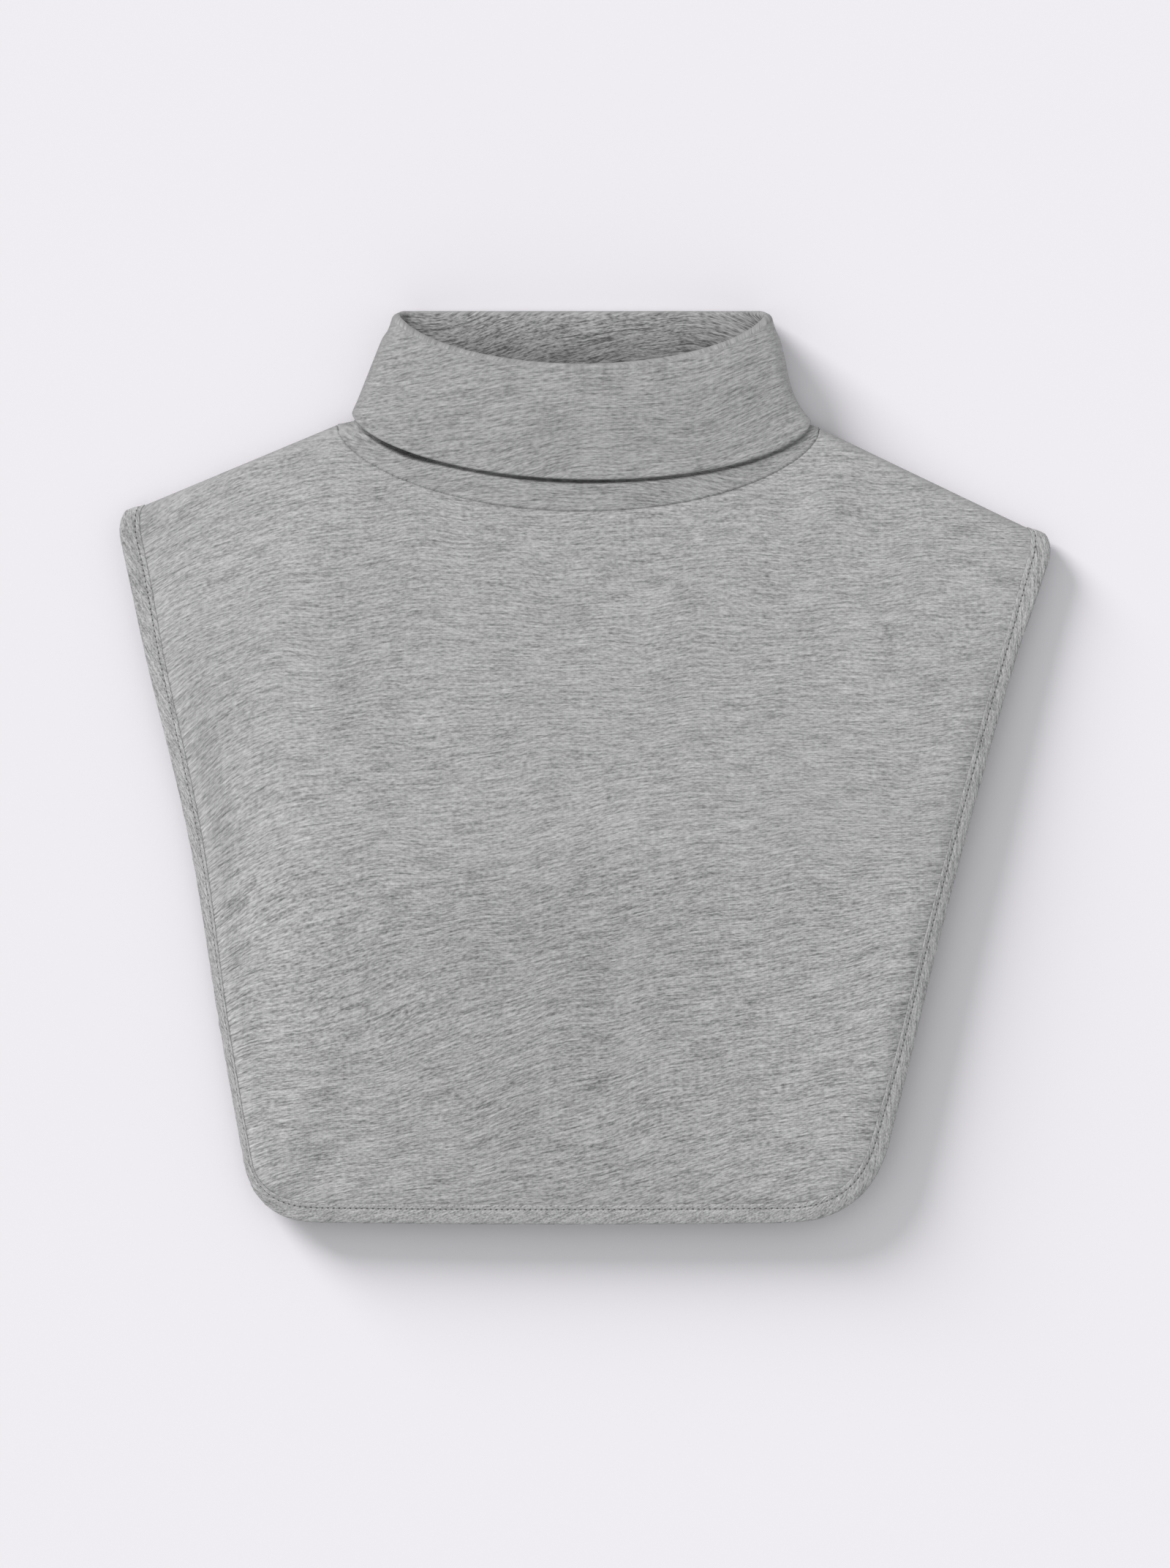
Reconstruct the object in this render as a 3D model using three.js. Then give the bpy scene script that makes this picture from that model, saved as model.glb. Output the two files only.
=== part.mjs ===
import * as THREE from 'three';

// A turtleneck dickey lying flat on its back. +X is to the right, +Y towards the collar and +Z up.
// Lengths are in millimetres and angles in degrees.

// Cloth
const panelWall = 1.0; // single jersey of the front and the back
const collarWall = 1.6; // doubled jersey of the collar
const bandWall = 1.0; // each leg of the band that binds the edges
const rollHemWall = 2.0; // the plump fold at the roll's lower edge
const clearance = 0.3; // air between neighbouring pieces

// Body, seen from above
const bodyLength = 284.2; // lower edge to the mean height of the shoulder points
const shoulderHalfWidth = 192.4; // centre line to the shoulder points before they are rounded
const shoulderSkew = 4.9; // the left shoulder point lies this much higher, the right one lower
const hemHalfWidth = 125.4; // half the distance between the lower corners before they are rounded
const hemSwing = -9.2; // how far the lower edge lies to the side
const hemBow = 1.3; // how far the lower edge bows down
const leftCornerRadius = 30;
const rightCornerRadius = 44;
const tipRounding = 9; // length of the rounding at the shoulder points
const tipInset = 4.4; // how far that rounding comes in along the shoulder
const tipLead = 0.72; // share of tipInset that the rounding first runs straight on for
const tipDrop = 0.5; // how far it has dropped there
const tipEase = 0.5; // share of its depth over which it joins the side edge

// Band that binds the side edges, the lower corners and the lower edge
const bandWidth = 8.6;
const bandBite = 5.8; // how deep the panels reach into the band

// Body heights above the surface that it lies on
const seamHeight = 4.5; // the shoulder seam, on the fold between front and back
const foldRound = 3; // how far the cloth takes to turn over at the shoulder
const hemLoft = 6.5; // height of the front's lower edge above the shoulder seam
const crownRise = 3.6; // extra rise in the middle of the front
const curlLength = 4; // how quickly a curled edge straightens
const backInset = 3; // how far the back's edges lie inside the front's
const edgeReach = 0.08; // share of a panel's run that still heads in from the edge
const neckReach = 0.3; // share of it that heads straight for the neck seam

// Collar
const neckHalfWidth = 98.5; // neck seam
const neckRise = 42.2; // shoulder points up to the ends of the neck seam
const neckShift = -3;
const neckSkew = 0.7;
const neckDip = 33.6; // front neck seam below its ends
const backNeckDip = 13;
const neckLoft = 9.5; // front neck seam above the shoulder seam
const standHeight = 47.9; // ends of the neck seam up to the rim
const rimHalfWidth = 77.2; // outside of the turned rim
const rimShift = -2.2;
const rimDip = 22.2; // front rim below the back rim
const rimLoft = 22; // front rim above the back rim, inside
const rollDepth = 44.4; // rim down to the roll's lower edge at the sides
const rollHalfWidth = 94.5; // outside of the roll's lower edge
const rollShift = -1.5;
const rollSkew = 1.7;
const rollDip = 25.0;
const rollBackDip = 3;
const rollLift = 1.8; // how far the roll's front stands off the collar behind it
const sideTuck = 3.6; // how far the roll's right side is drawn in
const rimFold = collarWall + 0.4; // distance between the two layers at the rim

// The edges from the shoulder point (0) to the lower corner (1). bow is how far the edge lies inside
// the straight line, as a share of that line. lift is a share of hemLoft, tilt is the slope of the
// edge in degrees, and crown is a share of crownRise.
const leftEdge = [
  { along: 0.0, bow: 0.0, lift: 0.42, tilt: 0, crown: 0.3 },
  { along: 0.08, bow: 0.001, lift: 0.42, tilt: 4, crown: 0.3 },
  { along: 0.2, bow: 0.0032, lift: 0.36, tilt: 28, crown: 0.3 },
  { along: 0.46, bow: 0.0136, lift: 0.2, tilt: 50, crown: 0.25 },
  { along: 0.72, bow: 0.0052, lift: 0.1, tilt: 65, crown: 0.2 },
  { along: 0.9, bow: 0.0015, lift: 0.06, tilt: 69, crown: 0.3 },
  { along: 1.0, bow: 0.0, lift: 0.1, tilt: 66, crown: 0.5 },
];
const rightEdge = [
  { along: 0.0, bow: 0.0, lift: 0.42, tilt: 0, crown: 0.3 },
  { along: 0.08, bow: 0.004, lift: 0.46, tilt: 4, crown: 0.3 },
  { along: 0.18, bow: 0.0102, lift: 0.6, tilt: 18, crown: 0.4 },
  { along: 0.36, bow: 0.0123, lift: 0.78, tilt: 28, crown: 0.55 },
  { along: 0.58, bow: 0.0106, lift: 0.86, tilt: 30, crown: 0.6 },
  { along: 0.78, bow: 0.0046, lift: 0.92, tilt: 27, crown: 0.7 },
  { along: 1.0, bow: 0.0, lift: 0.98, tilt: 22, crown: 0.85 },
];
const lowerEdge = [
  { along: 0.0, lift: 0.75, tilt: 18, crown: 0.8 },
  { along: 0.2, lift: 0.96, tilt: 16, crown: 1.0 },
  { along: 0.5, lift: 1.0, tilt: 14, crown: 1.0 },
  { along: 0.8, lift: 1.0, tilt: 16, crown: 1.0 },
  { along: 1.0, lift: 1.0, tilt: 20, crown: 0.9 },
];

// The collar's stand from the neck seam (0) to the rim (1). flare is how much it keeps of the neck
// seam's extra width.
const standRows = [
  { along: 0.0, flare: 1.0 },
  { along: 0.01, flare: 0.6 },
  { along: 0.03, flare: 0.12 },
  { along: 0.075, flare: 0.0 },
  { along: 0.2, flare: 0.0 },
  { along: 0.34, flare: 0.0 },
  { along: 0.52, flare: 0.0 },
  { along: 0.72, flare: 0.0 },
  { along: 0.88, flare: 0.0 },
  { along: 0.97, flare: 0.0 },
];

// The roll from the rim (0) to its lower edge (1). puff is a share of rollLift, plump is how much
// it has of the lower edge's extra thickness.
const rollRows = [
  { along: 0.03, puff: 0.0, plump: 0.0 },
  { along: 0.12, puff: 0.15, plump: 0.0 },
  { along: 0.32, puff: 0.3, plump: 0.0 },
  { along: 0.55, puff: 0.28, plump: 0.0 },
  { along: 0.78, puff: 0.12, plump: 0.15 },
  { along: 0.93, puff: 0.03, plump: 0.8 },
  { along: 1.0, puff: 0.0, plump: 1.0 },
];

const bandThickness = panelWall + 2 * clearance + 2 * bandWall;
const foldAngles = [0, 20, 40, 60, 78, 90];
const deg = Math.PI / 180;

function mix(a, b, t) {
  return a + (b - a) * t;
}

function smooth(t) {
  const held = Math.min(1, Math.max(0, t));
  return held * held * (3 - 2 * held);
}

// A column of a table at a place between its rows, on a smooth curve without overshoot.
function readTable(rows, column, along) {
  let index = 0;
  while (index < rows.length - 2 && rows[index + 1].along < along) {
    index += 1;
  }
  const slope = (i) => {
    const before = rows[Math.max(0, i - 1)];
    const after = rows[Math.min(rows.length - 1, i + 1)];
    return (after[column] - before[column]) / (after.along - before.along);
  };
  const from = rows[index];
  const to = rows[index + 1];
  const span = to.along - from.along;
  const t = Math.min(1, Math.max(0, (along - from.along) / span));
  const cubic = (2 * t ** 3 - 3 * t ** 2 + 1) * from[column]
    + (t ** 3 - 2 * t ** 2 + t) * span * slope(index)
    + (3 * t ** 2 - 2 * t ** 3) * to[column]
    + (t ** 3 - t ** 2) * span * slope(index + 1);
  return cubic;
}

// Share of the full height that cloth has reached at a depth behind a fold.
function foldShare(depth, round) {
  const left = 1 - Math.min(1, Math.max(0, depth) / round);
  return Math.sqrt(1 - left * left);
}

// Neck seam and other loops of the collar

const neckSideY = bodyLength + neckRise;
const rimY = neckSideY + standHeight;

// The collar's loop along the neck seam: plan sizes, heights and the roundness of its side folds.
function neckLoop() {
  return {
    centre: neckShift,
    halfWidth: neckHalfWidth,
    sideY: neckSideY,
    skew: neckSkew,
    frontDip: neckDip,
    backDip: backNeckDip,
    power: 1.04,
    sideZ: seamHeight,
    frontEdgeZ: seamHeight + 0.45 * neckLoft,
    frontMidZ: seamHeight + neckLoft,
    round: foldRound * 1.08,
  };
}

function standTopLoop() {
  const backZ = collarWall / 2 + rimFold;
  return {
    centre: rimShift,
    halfWidth: rimHalfWidth - collarWall / 2 - rimFold,
    sideY: rimY - rimFold / 2 - collarWall / 2,
    skew: 0,
    frontDip: rimDip,
    backDip: 0,
    power: 1.2,
    sideZ: backZ + 0.46 * rimLoft,
    frontEdgeZ: backZ + 0.8 * rimLoft,
    frontMidZ: backZ + rimLoft,
    round: 4 + foldRound,
  };
}

function rollTopLoop() {
  const inner = standTopLoop();
  return {
    ...inner,
    halfWidth: inner.halfWidth + rimFold,
    frontEdgeZ: inner.frontEdgeZ + rimFold,
    frontMidZ: inner.frontMidZ + rimFold,
    round: inner.round + rimFold / 2,
  };
}

function rollEdgeLoop() {
  const drop = rollDepth / standHeight;
  const foot = mixLoops(neckLoop(), standTopLoop(), 1 - drop);
  return {
    ...foot,
    centre: rollShift,
    halfWidth: rollHalfWidth - rollHemWall / 2,
    sideY: rimY - rollDepth,
    skew: rollSkew,
    frontDip: rollDip,
    backDip: rollBackDip,
    power: 1.2,
    sideZ: foot.sideZ + 0.5,
    frontEdgeZ: foot.frontEdgeZ + rimFold + 0.3 * rollLift,
    frontMidZ: foot.frontMidZ + rimFold + rollLift,
    round: foot.round + rimFold / 2,
  };
}

function mixLoops(a, b, t) {
  const loop = {};
  for (const key of Object.keys(a)) {
    loop[key] = mix(a[key], b[key], t);
  }
  return loop;
}

// Plan of half a loop, from its left end (angle 0) to its right end (180).
function loopPlan(loop, dip, angle) {
  const across = Math.max(0, Math.sin(angle)) ** loop.power;
  const x = loop.centre - loop.halfWidth * Math.cos(angle);
  return new THREE.Vector2(x, loop.sideY + loop.skew * Math.cos(angle) - dip * across);
}

// Half a loop as a table of plan points with the length run so far.
function loopTrace(loop, dip) {
  const steps = 360;
  const trace = [];
  let run = 0;
  for (let i = 0; i <= steps; i += 1) {
    const t = i / steps;
    const angle = Math.PI * (t - Math.sin(2 * Math.PI * t) / (2 * Math.PI) * 0.9);
    const plan = loopPlan(loop, dip, angle);
    run += i > 0 ? plan.distanceTo(trace[i - 1].plan) : 0;
    trace.push({ plan, run, angle });
  }
  return trace;
}

function tracePoint(trace, run) {
  let index = 1;
  while (index < trace.length - 1 && trace[index].run < run) {
    index += 1;
  }
  const from = trace[index - 1];
  const to = trace[index];
  const t = (run - from.run) / (to.run - from.run);
  const plan = from.plan.clone().lerp(to.plan, t);
  const ahead = to.plan.clone().sub(from.plan).normalize();
  return { plan, ahead, angle: mix(from.angle, to.angle, t) };
}

// Height of the stand's back. It rides over the roll's lower edge and comes down beyond it.
function standBackHeight(y) {
  const edge = rimY - rollDepth - rollBackDip;
  const ride = smooth((y - edge + rimFold + 5) / 5);
  return collarWall / 2 + rimFold * ride;
}

function loopPoint(loop, trace, front, run, backHeight) {
  const total = trace[trace.length - 1].run;
  const place = tracePoint(trace, run);
  const share = foldShare(Math.min(run, total - run), loop.round);
  const rise = Math.max(0, Math.sin(place.angle)) ** 1.5;
  const plain = front ? mix(loop.frontEdgeZ, loop.frontMidZ, rise) : backHeight(place.plan.y);
  const z = loop.sideZ + (plain - loop.sideZ) * share;
  return { plan: place.plan, ahead: place.ahead, plain, z };
}

// Distances along half a loop: close together round the side fold, then even.
function loopRuns(total, round, evenSteps) {
  const runs = foldAngles.map((angle) => round * (1 - Math.cos(angle * deg)));
  for (let i = 1; i < evenSteps; i += 1) {
    runs.push(mix(round, total - round, i / evenSteps));
  }
  const far = foldAngles.map((angle) => total - round * (1 - Math.cos(angle * deg)));
  return runs.concat(far.reverse());
}

function wholeLoop(loop, backHeight) {
  const frontTrace = loopTrace(loop, loop.frontDip);
  const backTrace = loopTrace(loop, loop.backDip);
  const frontTotal = frontTrace[frontTrace.length - 1].run;
  const backTotal = backTrace[backTrace.length - 1].run;
  const points = loopRuns(frontTotal, loop.round, 14).map((run) => {
    const p = loopPoint(loop, frontTrace, true, run, backHeight);
    return new THREE.Vector3(p.plan.x, p.plan.y, p.z);
  });
  const backRuns = loopRuns(backTotal, loop.round, 10).reverse().slice(1, -1);
  for (const run of backRuns) {
    const p = loopPoint(loop, backTrace, false, run, backHeight);
    points.push(new THREE.Vector3(p.plan.x, p.plan.y, p.z));
  }
  return points;
}

// Meshes

// Turns points and faces into a closed mesh that faces out.
function closedMesh(name, points, faces, material) {
  let volume = 0;
  for (const [a, b, c] of faces) {
    volume += points[a].dot(points[b].clone().cross(points[c]));
  }
  const index = volume > 0 ? faces.flat() : faces.flatMap(([a, b, c]) => [a, c, b]);
  const geometry = new THREE.BufferGeometry();
  geometry.setAttribute('position', new THREE.Float32BufferAttribute(points.flatMap((p) => p.toArray()), 3));
  geometry.setIndex(index);
  geometry.computeVertexNormals();
  const mesh = new THREE.Mesh(geometry, material);
  mesh.name = name;
  return mesh;
}

function gridNormal(grid, row, column, closed) {
  const last = grid[row].length - 1;
  const wrap = (c) => (closed ? (c + last + 1) % (last + 1) : Math.min(last, Math.max(0, c)));
  const across = grid[row][wrap(column + 1)].point.clone().sub(grid[row][wrap(column - 1)].point);
  const up = grid[Math.min(grid.length - 1, row + 1)][column].point.clone();
  up.sub(grid[Math.max(0, row - 1)][column].point);
  return across.cross(up).normalize();
}

// A cloth wall round a grid of { point, half, normal } on its middle surface.
function shellMesh(name, grid, closed, material) {
  const columns = grid[0].length;
  const points = [];
  grid.forEach((line, row) => line.forEach((spot, column) => {
    const normal = spot.normal || gridNormal(grid, row, column, closed);
    points.push(spot.point.clone().addScaledVector(normal, spot.half));
    points.push(spot.point.clone().addScaledVector(normal, -spot.half));
  }));
  const at = (row, column, side) => 2 * (row * columns + (column % columns)) + side;
  const faces = [];
  const quad = (a, b, c, d) => faces.push([a, b, c], [a, c, d]);
  const spans = closed ? columns : columns - 1;
  const lastRow = grid.length - 1;
  for (let row = 0; row < lastRow; row += 1) {
    for (let c = 0; c < spans; c += 1) {
      quad(at(row, c, 0), at(row, c + 1, 0), at(row + 1, c + 1, 0), at(row + 1, c, 0));
      quad(at(row, c, 1), at(row + 1, c, 1), at(row + 1, c + 1, 1), at(row, c + 1, 1));
    }
  }
  for (let c = 0; c < spans; c += 1) {
    quad(at(0, c, 0), at(0, c, 1), at(0, c + 1, 1), at(0, c + 1, 0));
    quad(at(lastRow, c, 0), at(lastRow, c + 1, 0), at(lastRow, c + 1, 1), at(lastRow, c, 1));
  }
  for (let row = 0; row < lastRow && !closed; row += 1) {
    quad(at(row, 0, 0), at(row + 1, 0, 0), at(row + 1, 0, 1), at(row, 0, 1));
    quad(at(row, spans, 0), at(row, spans, 1), at(row + 1, spans, 1), at(row + 1, spans, 0));
  }
  return closedMesh(name, points, faces, material);
}

// Collar: the stand rises from the neck seam, turns over at the rim and comes down as the roll.

// How far the right side is drawn in, at a share of the way down from the rim.
function tuckAt(down) {
  return sideTuck * Math.max(0, Math.sin(Math.PI * Math.min(1, Math.max(0, down)) ** 0.8)) ** 1.5;
}

function tucked(loop) {
  const tuck = tuckAt((rimY - loop.sideY) / rollDepth);
  return { ...loop, halfWidth: loop.halfWidth - tuck / 2, centre: loop.centre - tuck / 2 };
}

function standLoop(row) {
  const neck = neckLoop();
  const top = standTopLoop();
  const edge = rollEdgeLoop();
  const loop = mixLoops(neck, top, row.along);
  const reach = (edge.sideY - neck.sideY) / (top.sideY - neck.sideY);
  const foot = edge.halfWidth - rimFold - (rollHemWall - collarWall) / 2;
  const straight = top.halfWidth + (foot - top.halfWidth) * (1 - row.along) / (1 - reach);
  loop.halfWidth = mix(straight, neck.halfWidth, row.flare);
  loop.centre = mix(mix(rollShift, rimShift, row.along), neck.centre, row.flare);
  return tucked(loop);
}

function rollLoop(row) {
  const loop = mixLoops(rollTopLoop(), rollEdgeLoop(), row.along);
  loop.frontMidZ += row.puff * rollLift;
  return tucked(loop);
}

function makeCollar(material) {
  const grid = [];
  const addLoop = (loop, backHeight, wall) => {
    grid.push(wholeLoop(loop, backHeight).map((point) => ({ point, half: wall / 2 })));
  };
  for (const row of standRows) {
    addLoop(standLoop(row), standBackHeight, collarWall);
  }
  for (const angle of [0, 45, 90, 135, 180]) {
    const over = (1 - Math.cos(angle * deg)) / 2;
    const loop = mixLoops(standTopLoop(), rollTopLoop(), over);
    loop.sideY += rimFold / 2 * Math.sin(angle * deg);
    addLoop(loop, () => collarWall / 2 + rimFold * (1 - over), collarWall);
  }
  for (const row of rollRows) {
    const wall = mix(collarWall, rollHemWall, row.plump);
    addLoop(rollLoop(row), () => wall / 2, wall);
  }
  return shellMesh('collar', grid, true, material);
}

// Outline of the body

function sidePoints(side) {
  const neck = loopPlan(neckLoop(), 0, side < 0 ? 0 : Math.PI);
  const tip = new THREE.Vector2(side * shoulderHalfWidth, bodyLength - side * shoulderSkew);
  const corner = new THREE.Vector2(hemSwing + side * hemHalfWidth, hemBow);
  return { neck, tip, corner };
}

// Unit directions at a shoulder: out along it, and down from it into the body.
function shoulderAxes(side) {
  const { neck, tip } = sidePoints(side);
  const out = tip.clone().sub(neck).normalize();
  const down = new THREE.Vector2(side * out.y, -side * out.x);
  return { neck, out, down };
}

function depthBelowShoulder(plan, side) {
  const { neck, down } = shoulderAxes(side);
  return plan.clone().sub(neck).dot(down);
}

function edgePoint(side, rows, along) {
  const { tip, corner } = sidePoints(side);
  const line = corner.clone().sub(tip);
  const inward = new THREE.Vector2(side * line.y, -side * line.x);
  return tip.clone().addScaledVector(line, along).addScaledVector(inward, readTable(rows, 'bow', along));
}

function hemPoint(share) {
  const left = sidePoints(-1).corner;
  const right = sidePoints(1).corner;
  const point = left.clone().lerp(right, share);
  point.y -= hemBow * 4 * share * (1 - share);
  return point;
}

// Where the rounding of a lower corner starts, as shares of the side edge and of the lower edge.
function cornerShares(side, radius) {
  const { tip, corner } = sidePoints(side);
  const edge = tip.clone().sub(corner);
  const hem = new THREE.Vector2(-side, 0);
  const inside = Math.acos(edge.dot(hem) / edge.length());
  const reach = radius / Math.tan(inside / 2);
  return { edge: 1 - reach / edge.length(), hem: reach / (2 * hemHalfWidth) };
}

function shoulderTipCurve(side, rows) {
  const { neck, out, down } = shoulderAxes(side);
  const { tip, corner } = sidePoints(side);
  const start = tip.clone().addScaledVector(out, -tipInset);
  const along = tipRounding / tip.distanceTo(corner);
  const end = edgePoint(side, rows, along);
  const ahead = edgePoint(side, rows, along + 0.01).sub(end).normalize();
  const depth = end.clone().sub(neck).dot(down);
  const first = start.clone().addScaledVector(out, tipInset * tipLead).addScaledVector(down, tipDrop);
  const second = end.clone().addScaledVector(ahead, -depth * tipEase);
  return { curve: new THREE.CubicBezierCurve(start, first, second, end), along };
}

function curveAtDepth(curve, side, depth) {
  let low = 0;
  let high = 1;
  for (let i = 0; i < 40; i += 1) {
    const middle = (low + high) / 2;
    if (depthBelowShoulder(curve.getPoint(middle), side) < depth) {
      low = middle;
    } else {
      high = middle;
    }
  }
  return (low + high) / 2;
}

function rowValues(rows, along) {
  return {
    lift: readTable(rows, 'lift', along),
    tilt: readTable(rows, 'tilt', along),
    crown: readTable(rows, 'crown', along),
  };
}

function mixValues(a, b, t) {
  return { lift: mix(a.lift, b.lift, t), tilt: mix(a.tilt, b.tilt, t), crown: mix(a.crown, b.crown, t) };
}

// Stations from a shoulder point down one side to the end of its lower corner. Each has its plan
// point, its inward direction and its share of the height behind the shoulder fold.
function sideStations(side, rows, radius) {
  const shares = cornerShares(side, radius);
  const { curve, along: tipEnd } = shoulderTipCurve(side, rows);
  const stations = [];
  const add = (plan, ahead, values, fold) => {
    const inward = new THREE.Vector2(side * ahead.y, -side * ahead.x).normalize();
    stations.push({ plan, inward, fold, ...values });
  };
  const tipValues = rowValues(rows, 0);
  for (const angle of foldAngles) {
    const t = curveAtDepth(curve, side, foldRound * (1 - Math.cos(angle * deg)));
    add(curve.getPoint(t), curve.getTangent(t), tipValues, Math.sin(angle * deg));
  }
  const middle = (1 + curveAtDepth(curve, side, foldRound)) / 2;
  add(curve.getPoint(middle), curve.getTangent(middle), tipValues, 1);
  const edgeSteps = 11;
  for (let i = 0; i <= edgeSteps; i += 1) {
    const along = mix(tipEnd, shares.edge, i / edgeSteps);
    const ahead = edgePoint(side, rows, along + 0.004).sub(edgePoint(side, rows, along - 0.004));
    add(edgePoint(side, rows, along), ahead, rowValues(rows, along), 1);
  }
  const hemShare = side < 0 ? shares.hem : 1 - shares.hem;
  const arc = new THREE.QuadraticBezierCurve(
    edgePoint(side, rows, shares.edge), sidePoints(side).corner, hemPoint(hemShare));
  const from = rowValues(rows, shares.edge);
  const to = rowValues(lowerEdge, hemShare);
  const cornerSteps = 7;
  for (let i = 1; i <= cornerSteps; i += 1) {
    const t = i / cornerSteps;
    add(arc.getPoint(t), arc.getTangent(t), mixValues(from, to, smooth(t)), 1);
  }
  return { stations, hemShare };
}

// All stations of the outline, from the left shoulder point round the lower edge to the right one.
function outlineStations() {
  const left = sideStations(-1, leftEdge, leftCornerRadius);
  const right = sideStations(1, rightEdge, rightCornerRadius);
  const stations = left.stations.slice();
  const hemSteps = 9;
  for (let i = 1; i < hemSteps; i += 1) {
    const share = mix(left.hemShare, right.hemShare, i / hemSteps);
    const ahead = hemPoint(share + 0.01).sub(hemPoint(share - 0.01));
    const inward = new THREE.Vector2(-ahead.y, ahead.x).normalize();
    stations.push({ plan: hemPoint(share), inward, fold: 1, ...rowValues(lowerEdge, share) });
  }
  return stations.concat(right.stations.reverse());
}

// The outline as a closed line in space: over the front, round the right shoulder fold, back along
// the back and round the left shoulder fold. Each spot has its inward and outward-facing directions.
function edgeFrames() {
  const stations = outlineStations();
  const count = stations.length;
  const spots = stations.map((station, i) => {
    const side = i < count / 2 ? -1 : 1;
    const z = seamHeight + station.lift * hemLoft * station.fold;
    return edgeSpot(station, side, true, new THREE.Vector3(station.plan.x, station.plan.y, z));
  });
  for (let i = count - 2; i > 0; i -= 1) {
    const station = stations[i];
    const side = i < count / 2 ? -1 : 1;
    const depth = depthBelowShoulder(station.plan, side);
    const inset = backInset * smooth((depth - 2 * foldRound) / 60);
    const plan = station.plan.clone().addScaledVector(station.inward, inset);
    const z = mix(seamHeight, bandThickness / 2, station.fold);
    spots.push(edgeSpot(station, side, false, new THREE.Vector3(plan.x, plan.y, z)));
  }
  spots.forEach((spot, i) => {
    const ahead = spots[(i + 1) % spots.length].point.clone();
    ahead.sub(spots[(i + spots.length - 1) % spots.length].point).normalize();
    const { out } = shoulderAxes(spot.side);
    const near = 1 - smooth(depthBelowShoulder(spot.station.plan, spot.side) / (4 * foldRound));
    spot.inward = spot.facing.clone().cross(ahead).normalize();
    spot.inward.lerp(new THREE.Vector3(-out.x, -out.y, 0), near);
    spot.inward.addScaledVector(spot.facing, -spot.inward.dot(spot.facing)).normalize();
  });
  return { spots, count, stations };
}

function edgeSpot(station, side, front, point) {
  const { down } = shoulderAxes(side);
  const flat = front ? 1 : -1;
  const rise = front ? station.lift * hemLoft : seamHeight - bandThickness / 2;
  const level = Math.sqrt(Math.max(0, 1 - station.fold * station.fold));
  const facing = new THREE.Vector3(
    -down.x * level / foldRound, -down.y * level / foldRound, flat * station.fold / rise);
  if (station.fold >= 1) {
    const tilt = front ? station.tilt * deg : 0;
    const lean = Math.sin(tilt);
    facing.set(-station.inward.x * lean, -station.inward.y * lean, flat * Math.cos(tilt));
  }
  return { point, facing: facing.normalize(), station, side };
}

// Section of the band: u runs in from the folded edge and w across its thickness.
function bandSection() {
  const outer = bandThickness / 2;
  const inner = outer - bandWall;
  return [
    [bandWidth, outer],
    [outer, outer],
    [outer * 0.3, outer * 0.72],
    [0, 0],
    [outer * 0.3, -outer * 0.72],
    [outer, -outer],
    [bandWidth, -outer],
    [bandWidth, -inner],
    [outer, -inner],
    [bandWall, 0],
    [outer, inner],
    [bandWidth, inner],
  ];
}

function makeBand(frames, material) {
  const section = bandSection();
  const points = [];
  for (const spot of frames.spots) {
    for (const [u, w] of section) {
      points.push(spot.point.clone().addScaledVector(spot.inward, u).addScaledVector(spot.facing, w));
    }
  }
  const faces = [];
  const size = section.length;
  const total = frames.spots.length;
  for (let i = 0; i < total; i += 1) {
    for (let k = 0; k < size; k += 1) {
      const a = i * size + k;
      const b = i * size + (k + 1) % size;
      const c = ((i + 1) % total) * size + (k + 1) % size;
      const d = ((i + 1) % total) * size + k;
      const outwards = section[(k + 1) % size][0] >= section[k][0];
      faces.push(...(outwards ? [[a, b, c], [a, c, d]] : [[a, b, d], [b, c, d]]));
    }
  }
  return closedMesh('edge_band', points, faces, material);
}

// Panels

// How far a curled edge advances and rises within a length of cloth.
function curl(tilt, length) {
  const steps = 24;
  let advance = 0;
  let rise = 0;
  for (let i = 0; i < steps; i += 1) {
    const slope = tilt * Math.exp(-(i + 0.5) / steps * length / curlLength);
    advance += Math.cos(slope) * length / steps;
    rise += Math.sin(slope) * length / steps;
  }
  return { advance, rise };
}

// Points on half of the neck seam, one for each station of the outline.
function neckStations(stations, front) {
  const loop = neckLoop();
  const trace = loopTrace(loop, front ? loop.frontDip : loop.backDip);
  const total = trace[trace.length - 1].run;
  const runs = outlineRuns(stations);
  const first = foldAngles.length - 1;
  const last = stations.length - foldAngles.length;
  const loopRound = loop.round;
  return stations.map((station, i) => {
    let run = loopRound + (total - 2 * loopRound) * (runs[i] - runs[first]) / (runs[last] - runs[first]);
    if (i < first) {
      run = loopRound * (1 - Math.cos(foldAngles[i] * deg));
    }
    if (i > last) {
      run = total - loopRound * (1 - Math.cos(foldAngles[stations.length - 1 - i] * deg));
    }
    const spot = loopPoint(loop, trace, front, run, standBackHeight);
    const outward = new THREE.Vector2(spot.ahead.y, -spot.ahead.x);
    const side = i < stations.length / 2 ? -1 : 1;
    const near = 1 - smooth(depthBelowShoulder(spot.plan, side) / 12);
    outward.lerp(shoulderAxes(side).out, near).normalize();
    const plan = spot.plan.clone().addScaledVector(outward, clearance + collarWall / 4);
    return { plan, outward, plain: spot.plain };
  });
}

function outlineRuns(stations) {
  let run = 0;
  return stations.map((station, i) => {
    run += i > 0 ? station.plan.distanceTo(stations[i - 1].plan) : 0;
    return run;
  });
}

// A grid of one panel: columns follow the outline, rows run from inside the band to the neck seam.
function panelGrid(frames, front, rowCount) {
  const { spots, count, stations } = frames;
  const necks = neckStations(stations, front);
  const columns = stations.map((station, i) => {
    const atFold = i === 0 || i === count - 1;
    const spot = front || atFold ? spots[i] : spots[2 * (count - 1) - i];
    return panelColumn(station, spot, necks[i], front, rowCount);
  });
  return columns[0].map((unused, row) => columns.map((column) => column[row]));
}

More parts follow.
